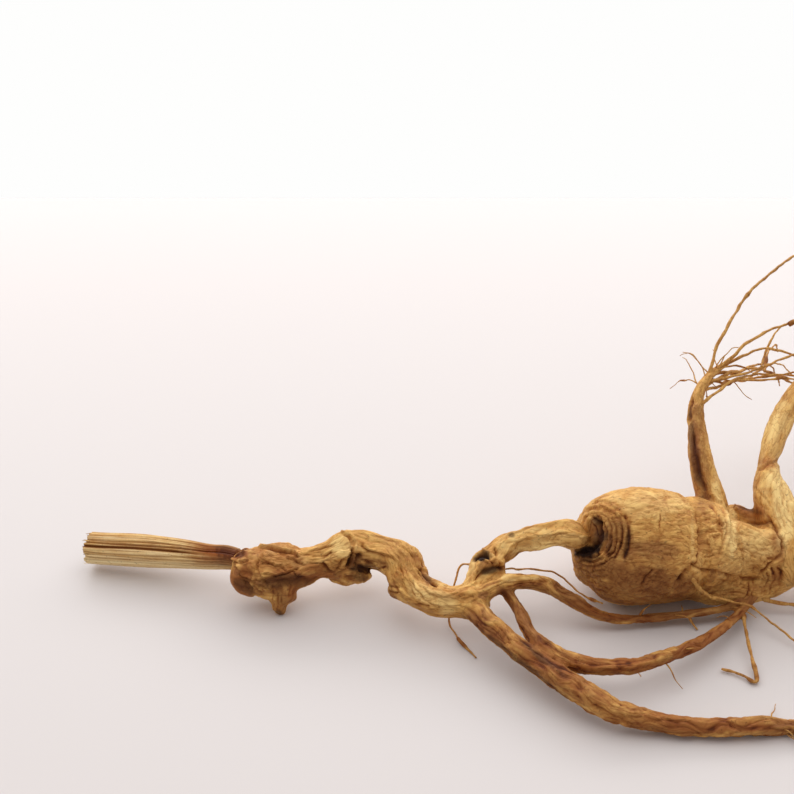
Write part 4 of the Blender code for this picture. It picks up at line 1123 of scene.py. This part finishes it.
# Single rootlets: radius at the base, and course
thinRootlets = (
    (0.26, ((13.2, -6.6, 2.3), (12.8, -10.3, 2.0), (12.7, -14.3, 1.4), (12.6, -17.9, 0.7),
            (12.3, -19.8, 0.5), (11.1, -18.6, 0.45), (9.7, -17.5, 0.45), (8.3, -16.9, 0.45))),
    (0.42, ((4.8, -4.2, 9.4), (4.8, -7.0, 9.3), (5.9, -7.3, 7.2), (8.2, -6.8, 4.9), (11.4, -6.4, 3.5))),
    (0.21, ((4.8, -4.2, 9.4), (4.8, -7.0, 9.3), (5.9, -7.3, 7.2), (8.2, -6.8, 4.9),
            (11.4, -6.4, 3.5), (14.2, -6.6, 2.8), (16.9, -8.8, 2.0), (19.6, -11.6, 0.9),
            (23.4, -16.1, 0.5))),
    (0.42, ((15.2, -3.1, 4.5), (16.4, -4.1, 3.0), (17.7, -5.0, 2.3), (21.3, -5.1, 1.6),
           (25.1, -5.4, 1.1), (28.9, -7.6, 0.7), (33.4, -7.4, 0.45))),
    (0.17, ((-25.6, -2.8, 7.5), (-27.0, -1.3, 6.0), (-28.0, -3.1, 4.0), (-28.8, -7.1, 1.2),
            (-28.0, -10.1, 0.6), (-25.4, -14.6, 0.4))),
    (0.16, ((-21.6, -3.5, 7.0), (-18.4, -1.1, 5.5), (-14.4, 0.7, 3.5), (-11.2, 0.6, 1.6),
            (-9.3, -1.4, 0.8), (-6.3, -3.6, 0.9))),
    (0.24, ((5.4, -7.7, 2.0), (6.0, -7.9, 1.0), (6.8, -8.8, 0.4))),
    (0.27, ((12.0, 24.0, 23.4), (13.6, 27.2, 27.6), (17.2, 31.4, 32.0), (22.6, 35.8, 35.6),
            (29.2, 39.8, 38.0), (36.4, 43.0, 38.9), (43.6, 45.4, 37.6), (50.0, 46.9, 35.0))),
)

rootlets = {
    "step": 6.0,
    "lift": 0.54,
    "ring": 0.45,
    "sides": 8,
    "shake": 0.3,
    "shakes": ((2.6, 1.0), (0.9, 0.4)),      # sizes and shares of the shaking
    "loose": 4.0,                            # it is full this far from the limb
    "sag": (0.25, 0.75),
    "sway": 0.16,                            # strays of a course, as shares of its length
    "swayTwist": 0.35,
    "swayTurns": 5,
    "buckle": 0.06,
    "buckleTurns": 6,
    "uneven": (0.8, 0.3),
    "knotSwell": 1.1,
    "knotSize": 2.2,
    "knotEdge": (0.45, 0.75),
    "knotDark": (1.2, 2.0, 0.6),             # from, to, strength: darkness of swollen rings
    "shade": 0.35,
    "blotches": (4.0, 91, 0.6),
    "air": 0.02,                             # between a rootlet and the table
    "oblique": (0.31, 0.17, 1),              # a direction that no rootlet follows
    "firstSeed": 70,
    "seedStep": 3,
    "radius": 0.27,
    "twigRadius": 0.2,
    "twigTurn": 0.7,
    "twigLength": 0.45,
    "spread": 0.42,
    "tip": 0.1,
    "singleTip": 0.14,
    "hairRadius": 0.11,
    "hairTip": 0.05,
    "hairSeed": 19,
    "hairLast": 0.97,                        # share of a limb's length
    "hairLean": (0.3, 1.4),
    "hairLength": (0.35, 1.0),
    "hairFoot": 0.7,                         # share of the limb's radius
    "beardStep": 2.5,
    "beardLength": (0.65, 1.0),
    # Beards: limb, first share of its length, count, heading, length, seed
    "beards": (("leftLeg", 0.72, 8, (0.86, 0.38, 0.14), 33.0, 11),
               ("rightLeg", 0.62, 8, (0.82, 0.45, -0.05), 30.0, 23),
               ("tail", 0.5, 7, (0.90, 0.10, -0.10), 22.0, 37),
               ("lowerArm", 0.72, 5, (0.92, 0.10, 0.0), 22.0, 41)),
    # Hairs: limb, first share of its length, count, longest
    "hairs": (("leftLeg", 0.75, 12, 10), ("rightLeg", 0.6, 16, 11), ("tail", 0.3, 18, 9),
              ("lowerArm", 0.55, 14, 5), ("middleArm", 0.3, 5, 4), ("upperArm", 0.5, 4, 4)),
}


def rootletPoints(rng, start, heading, length):
    # A kinked course that leaves along its heading, sags, and stays above the table
    count = max(4, round(length / rootlets["step"]))
    sag = rng.uniform(*rootlets["sag"])
    swing = [rng.uniform(-1, 1) for _ in range(4)]
    across = unitRows(np.cross(heading, upward))
    t = np.linspace(0, 1, count + 1)[:, None]
    bend = swing[0] * t ** 2 + rootlets["swayTwist"] * swing[1] * np.sin(rootlets["swayTurns"] * t)
    buckle = swing[2] * (np.sin(rootlets["buckleTurns"] * t + swing[3]) - math.sin(swing[3]))
    course = start + heading * length * t + across * rootlets["sway"] * length * bend
    course[:, 2:] += rootlets["buckle"] * length * buckle - sag * length * t ** 2
    course[:, 2] = np.maximum(course[:, 2], rootlets["lift"])
    return course


def rootletSkin(course, base, tip, seed):
    # point = course, shaken a little, with a thin tube that swells at a few knots: returns
    # the tube and how much thicker than its taper it is at every point
    taper = np.linspace(base, tip, len(course))[:, None]
    limb = followRoute(np.hstack([course - tableShift, taper]), rootlets["ring"])
    centre = limb["centre"]
    loose = eased(limb["along"], 0, rootlets["loose"])[:, None]
    shake = [sum(share * noise(centre / size, seed + k) for size, share in rootlets["shakes"])
             for k in range(3)]
    centre = centre + rootlets["shake"] * np.stack(shake, axis=-1) * loose
    knots = rootlets["knotSwell"] * patchy(centre, rootlets["knotSize"], seed + 6, *rootlets["knotEdge"])
    size, share = rootlets["uneven"]
    limb["radius"] = limb["radius"] * (1 + share * noise(centre / size, seed + 5) + knots)
    centre[:, 2] = np.maximum(centre[:, 2], limb["radius"] + rootlets["air"])
    limb["centre"] = centre
    limb["tangent"] = unitRows(np.gradient(centre, axis=0))
    limb["side"] = unitRows(np.cross(limb["tangent"], rootlets["oblique"]))
    limb["top"] = np.cross(limb["side"], limb["tangent"])
    thickness = limb["radius"] / np.linspace(base, tip, len(centre))
    thickness = np.append(np.repeat(thickness, rootlets["sides"]), [1.0, 1.0])
    return sweep(limb, rootlets["sides"]), thickness


def growBeard(name, first, count, heading, length, seed):
    # Rootlets from the last stretch of a limb, every second one with a side twig
    rng = random.Random(seed)
    samples = followRoute(beardLimbs[name], rootlets["beardStep"])["centre"]
    last = len(samples) - 2
    courses = []
    for k in range(count):
        share = first + (1 - first) * k / (count - 1)
        start = samples[round(share * last)]
        spread = np.array([rng.uniform(-rootlets["spread"], rootlets["spread"]) for _ in range(3)])
        course = unitRows(np.array(heading) + spread)
        reach = length * rng.uniform(*rootlets["beardLength"])
        points = rootletPoints(rng, start, course, reach)
        courses.append((points, rootlets["radius"], rootlets["tip"]))
        if k % 2:
            continue
        turn = np.array([rng.uniform(-rootlets["twigTurn"], rootlets["twigTurn"]) for _ in range(3)])
        middle = len(points) // 2
        fork = (points[middle - 1] + points[middle]) / 2
        twig = rootletPoints(rng, fork, unitRows(course + turn), reach * rootlets["twigLength"])
        courses.append((twig, rootlets["twigRadius"], rootlets["tip"]))
    return courses


def growHairs(limb, first, count, longest, rng):
    # Short hair roots that leave a limb sideways and droop
    courses = []
    for _ in range(count):
        row = int(len(limb["centre"]) * rng.uniform(first, rootlets["hairLast"]))
        turn = rng.uniform(0, 2 * math.pi)
        outward = math.cos(turn) * limb["top"][row] + math.sin(turn) * limb["side"][row]
        heading = unitRows(outward + rng.uniform(*rootlets["hairLean"]) * limb["tangent"][row])
        length = longest * rng.uniform(*rootlets["hairLength"])
        start = limb["centre"][row] + outward * limb["radius"][row] * rootlets["hairFoot"]
        points = rootletPoints(rng, start, heading, length)
        courses.append((points, rootlets["hairRadius"], rootlets["hairTip"]))
    return courses


beardLimbs = {"leftLeg": leftLegRoute, "rightLeg": rightLegRoute, "tail": tailRoute,
              "lowerArm": lowerArmRoute}
courses = [(np.array(course) + tableShift, base, rootlets["singleTip"])
           for base, course in thinRootlets]
for beard in rootlets["beards"]:
    courses += growBeard(*beard)
allLimbs = {**bodyLimbs, **stemLimbs}
rng = random.Random(rootlets["hairSeed"])
for name, first, count, longest in rootlets["hairs"]:
    courses += growHairs(allLimbs[name], first, count, longest, rng)
grown = [rootletSkin(*course, rootlets["firstSeed"] + rootlets["seedStep"] * index)
         for index, course in enumerate(courses)]
rootletPiece = addPiece("rootlets", makeMesh("rootlets", [grid for grid, _ in grown]))
rootletPlaces = readPoints(rootletPiece.data)
thickness = np.concatenate([share for _, share in grown])
start, stop, dark = rootlets["knotDark"]
storeValues(rootletPiece.data, "crease", eased(thickness, start, stop) * dark)
size, seed, strength = rootlets["blotches"]
tone = rootlets["shade"] + strength * layered(rootletPlaces / size, seed)
storeValues(rootletPiece.data, "tone", tone)
storeValues(rootletPiece.data, "grain", rootletPlaces)
print("rootlets faces", len(rootletPiece.data.polygons))


def hexColour(code):
    # sRGB hex to linear
    channels = np.array([int(code[k:k + 2], 16) / 255 for k in (1, 3, 5)])
    linear = np.where(channels <= 0.04045, channels / 12.92, ((channels + 0.055) / 1.055) ** 2.4)
    return (*linear.tolist(), 1.0)


def addNode(tree, kind, settings=None, links=None):
    # One node: settings go to its sockets or properties, links join its inputs
    node = tree.nodes.new(kind)
    for key, value in (settings or {}).items():
        if isinstance(key, str) and hasattr(node, key):
            setattr(node, key, value)
    for key, value in (settings or {}).items():
        if not isinstance(key, str) or not hasattr(node, key):
            node.inputs[key].default_value = value
    for key, source in (links or {}).items():
        tree.links.new(source, node.inputs[key])
    return node


def newMaterial(name):
    material = bpy.data.materials.new(name)
    material.use_nodes = True
    material.node_tree.nodes.clear()
    return material, material.node_tree


def plainMaterial(name, colour, roughness):
    material, tree = newMaterial(name)
    shader = addNode(tree, "ShaderNodeBsdfPrincipled",
                     {"Base Color": hexColour(colour), "Roughness": roughness})
    addNode(tree, "ShaderNodeOutputMaterial", links={"Surface": shader.outputs[0]})
    return material


# Colour layers over the tan ground, in order: what drives one, the values where it starts
# and is full, its share there, its colour, and how it is laid on. The wrinkle and crease layers
# lay on painted shade; the tone layers and the last one carry painted shade and light as well
# as the skin's own colour
colourLayers = (
    ("blotches", 0.35, 0.65, 1.0, "pale", "MIX"),
    ("fibres", 0.42, 0.72, 0.55, "shade", "MULTIPLY"),
    ("tone", 0.0, -1.0, 1.0, "light", "MIX"),
    ("tone", 0.0, 1.0, 0.85, "brown", "MIX"),
    ("rust", 0.0, 1.0, 1.0, "rust", "MIX"),
    ("wrinkles", 0.0, 1.0, 0.42, "shade", "MULTIPLY"),
    ("specks", 0.62, 0.75, 0.5, "deep", "MIX"),
    ("crease", 0.15, 0.75, 1.0, "shade", "MULTIPLY"),
    ("crease", 0.55, 1.0, "creaseDark", "deep", "MIX"),
    ("stainAndPitShade", 0.0, 1.0, 1.0, "black", "MIX"),
)


def rootSkin(name, look):
    # Dried, unpeeled root cork: a matt straw-coloured skin, browner in blotches and where painted
    # shade darkens it, with painted shade in every wrinkle and crease and faint lengthwise fibres
    material, tree = newMaterial(name)
    read = {key: addNode(tree, "ShaderNodeAttribute", {"attribute_name": key}).outputs["Fac"]
            for key in ("crease", "tone", "stainAndPitShade", "rust")}
    grain = addNode(tree, "ShaderNodeAttribute", {"attribute_name": "grain"}).outputs["Vector"]
    place = addNode(tree, "ShaderNodeTexCoord").outputs["Object"]
    # Noises: what they follow, stretch along the limb, size in scene units, detail, roughness
    noises = {
        "fibres": (grain, look["stretch"], look["fibre"], 3.0, 0.6),
        "wrinkles": (grain, look["wrinkleStretch"], look["wrinkle"], 2.0, 0.5),
        "blotches": (place, 1.0, look["blotch"] * mm, 5.0, 0.65),
        "specks": (place, 1.0, look["speck"] * mm, 2.0, 0.5),
    }
    for key, (follows, stretch, size, detail, roughness) in noises.items():
        vector = addNode(tree, "ShaderNodeMapping", {"Scale": (1, 1, stretch)}, {"Vector": follows})
        read[key] = addNode(tree, "ShaderNodeTexNoise",
                            {"Scale": 1 / size, "Detail": detail, "Roughness": roughness},
                            {"Vector": vector.outputs[0]}).outputs[0]
    # A wrinkle runs where its noise passes through the middle of its range
    offCentre = addNode(tree, "ShaderNodeMath", {"operation": "SUBTRACT", 1: 0.5},
                        {0: read["wrinkles"]}).outputs[0]
    offCentre = addNode(tree, "ShaderNodeMath", {"operation": "ABSOLUTE"}, {0: offCentre}).outputs[0]
    read["wrinkles"] = addNode(tree, "ShaderNodeMapRange",
                               {"From Max": 0.05, "To Min": 1.0, "To Max": 0.0},
                               {"Value": offCentre}).outputs[0]
    below = {}
    for key, start, full, most, tint, blend in colourLayers:
        share = addNode(tree, "ShaderNodeMapRange",
                        {"From Min": start, "From Max": full, "To Max": look.get(most, most)},
                        {"Value": read[key]})
        mix = addNode(tree, "ShaderNodeMix",
                      {"data_type": "RGBA", "blend_type": blend, 6: hexColour(look["tan"]),
                       7: hexColour(look[tint])}, {0: share.outputs[0], **below})
        below = {6: mix.outputs[2]}
    relief = addNode(tree, "ShaderNodeMath", {"operation": "ADD"},
                     {0: read["fibres"], 1: read["specks"]}).outputs[0]
    relief = addNode(tree, "ShaderNodeMath", {"operation": "SUBTRACT"},
                     {0: relief, 1: read["wrinkles"]}).outputs[0]
    bump = addNode(tree, "ShaderNodeBump", {"Strength": 0.7, "Distance": look["bump"] * mm},
                   {"Height": relief}).outputs[0]
    shader = addNode(tree, "ShaderNodeBsdfPrincipled",
                     {"Roughness": look["roughness"], "IOR": 1.45, "Specular IOR Level": 0.2},
                     {"Base Color": mix.outputs[2], "Normal": bump})
    addNode(tree, "ShaderNodeOutputMaterial", links={"Surface": shader.outputs[0]})
    return material


skinLook = {
    "light": "#F6D28A", "pale": "#E8B96A", "tan": "#D09850", "brown": "#8A562C", "deep": "#44240F",
    "black": "#24120A", "rust": "#A0602E", "shade": "#BC9069",
    "fibre": 0.3, "stretch": 0.16, "blotch": 2.2, "speck": 0.4, "creaseDark": 0.85,
    "wrinkle": 1.0, "wrinkleStretch": 0.24, "roughness": 0.6, "bump": 0.07,
}
strawLook = {
    "light": "#F4DEAC", "pale": "#E6C88C", "tan": "#D4A45E", "brown": "#A8682A", "deep": "#5E3414",
    "black": "#431A0C", "rust": "#94501F", "shade": "#BC9069",
    "fibre": 0.28, "stretch": 0.05, "blotch": 3.0, "speck": 0.25, "creaseDark": 0.9,
    "wrinkle": 0.9, "wrinkleStretch": 0.04, "roughness": 0.55, "bump": 0.05,
}
bodyLook = dict(skinLook, fibre=0.24, stretch=0.42, speck=0.5, wrinkleStretch=0.5)
rootBody.data.materials.append(rootSkin("driedRootSkin", bodyLook))
rootStem.data.materials.append(rootSkin("driedStemSkin", skinLook))
stemStub.data.materials.append(rootSkin("dryStraw", strawLook))
rootletPiece.data.materials.append(rootSkin("rootletSkin", skinLook))
for piece in (rootBody, rootStem, stemStub, rootletPiece):
    piece.data.shade_smooth()
    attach(piece, "root")
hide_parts("ginseng_root")
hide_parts("stem_stub")
print("skins and slots set")

stage = {
    "farEdge": 155.7,                        # the table ends at the photograph's horizon
    "reach": 900.0,
    "table": "#D2CBC9",
    "tableRoughness": 0.6,
    "wall": "#FEFEFD",
    "roomLight": "#F4F1F0",
    "ambient": 0.49,
    # Softboxes: name, size, place, aim and power in watts
    "lights": (
        ("overheadSoftbox", (1600.0, 1200.0), (-60.0, 260.0, 560.0), (0.0, 60.0, 0.0), 6.9),
        ("rearStrip", (1500.0, 160.0), (0.0, 300.0, 170.0), (0.0, 160.0, 0.0), 1.35),
    ),
}

# A pale table top before a white room
reach, farEdge = stage["reach"] * mm, stage["farEdge"] * mm
corners = [(-reach, -reach, 0), (reach, -reach, 0), (reach, farEdge, 0), (-reach, farEdge, 0)]
floorMesh = bpy.data.meshes.new("floor")
floorMesh.from_pydata(corners, [], [(0, 1, 2, 3)])
floor = addPiece("floor", floorMesh)
floorMesh.materials.append(plainMaterial("paleTableTop", stage["table"], stage["tableRoughness"]))

# The room is white to the eye but lights the table only softly
world = bpy.data.worlds.new("softRoom")
world.use_nodes = True
worldTree = world.node_tree
worldTree.nodes.clear()
ambient = addNode(worldTree, "ShaderNodeBackground",
                  {"Color": hexColour(stage["roomLight"]), "Strength": stage["ambient"]})
wall = addNode(worldTree, "ShaderNodeBackground",
               {"Color": hexColour(stage["wall"]), "Strength": 1.0})
isSeen = addNode(worldTree, "ShaderNodeLightPath").outputs["Is Camera Ray"]
room = addNode(worldTree, "ShaderNodeMixShader",
               links={0: isSeen, 1: ambient.outputs[0], 2: wall.outputs[0]})
addNode(worldTree, "ShaderNodeOutputWorld", links={"Surface": room.outputs[0]})
bpy.context.scene.world = world
bpy.context.scene.view_settings.view_transform = "Standard"

for name, size, place, target, power in stage["lights"]:
    light = bpy.data.lights.new(name, "AREA")
    light.shape = "RECTANGLE"
    light.size, light.size_y = size[0] * mm, size[1] * mm
    light.energy = power
    softbox = bpy.data.objects.new(name, light)
    softbox.location = [v * mm for v in place]
    aim = Vector(target) - Vector(place)
    softbox.rotation_euler = aim.to_track_quat("-Z", "Y").to_euler()
    bpy.context.scene.collection.objects.link(softbox)

lens = bpy.data.cameras.new("camera")
lens.sensor_width = camera["sensor"]
lens.lens = camera["sensor"] / 2 / math.tan(math.radians(camera["halfField"]))
lens.shift_y = camera["shiftUp"]
lens.clip_start = camera["nearest"]
eye = bpy.data.objects.new("camera", lens)
eye.location = [v * mm for v in camera["place"]]
eye.rotation_euler = (math.radians(90 - camera["elevation"]), 0, 0)
bpy.context.scene.collection.objects.link(eye)
bpy.context.scene.camera = eye

print("stage set")
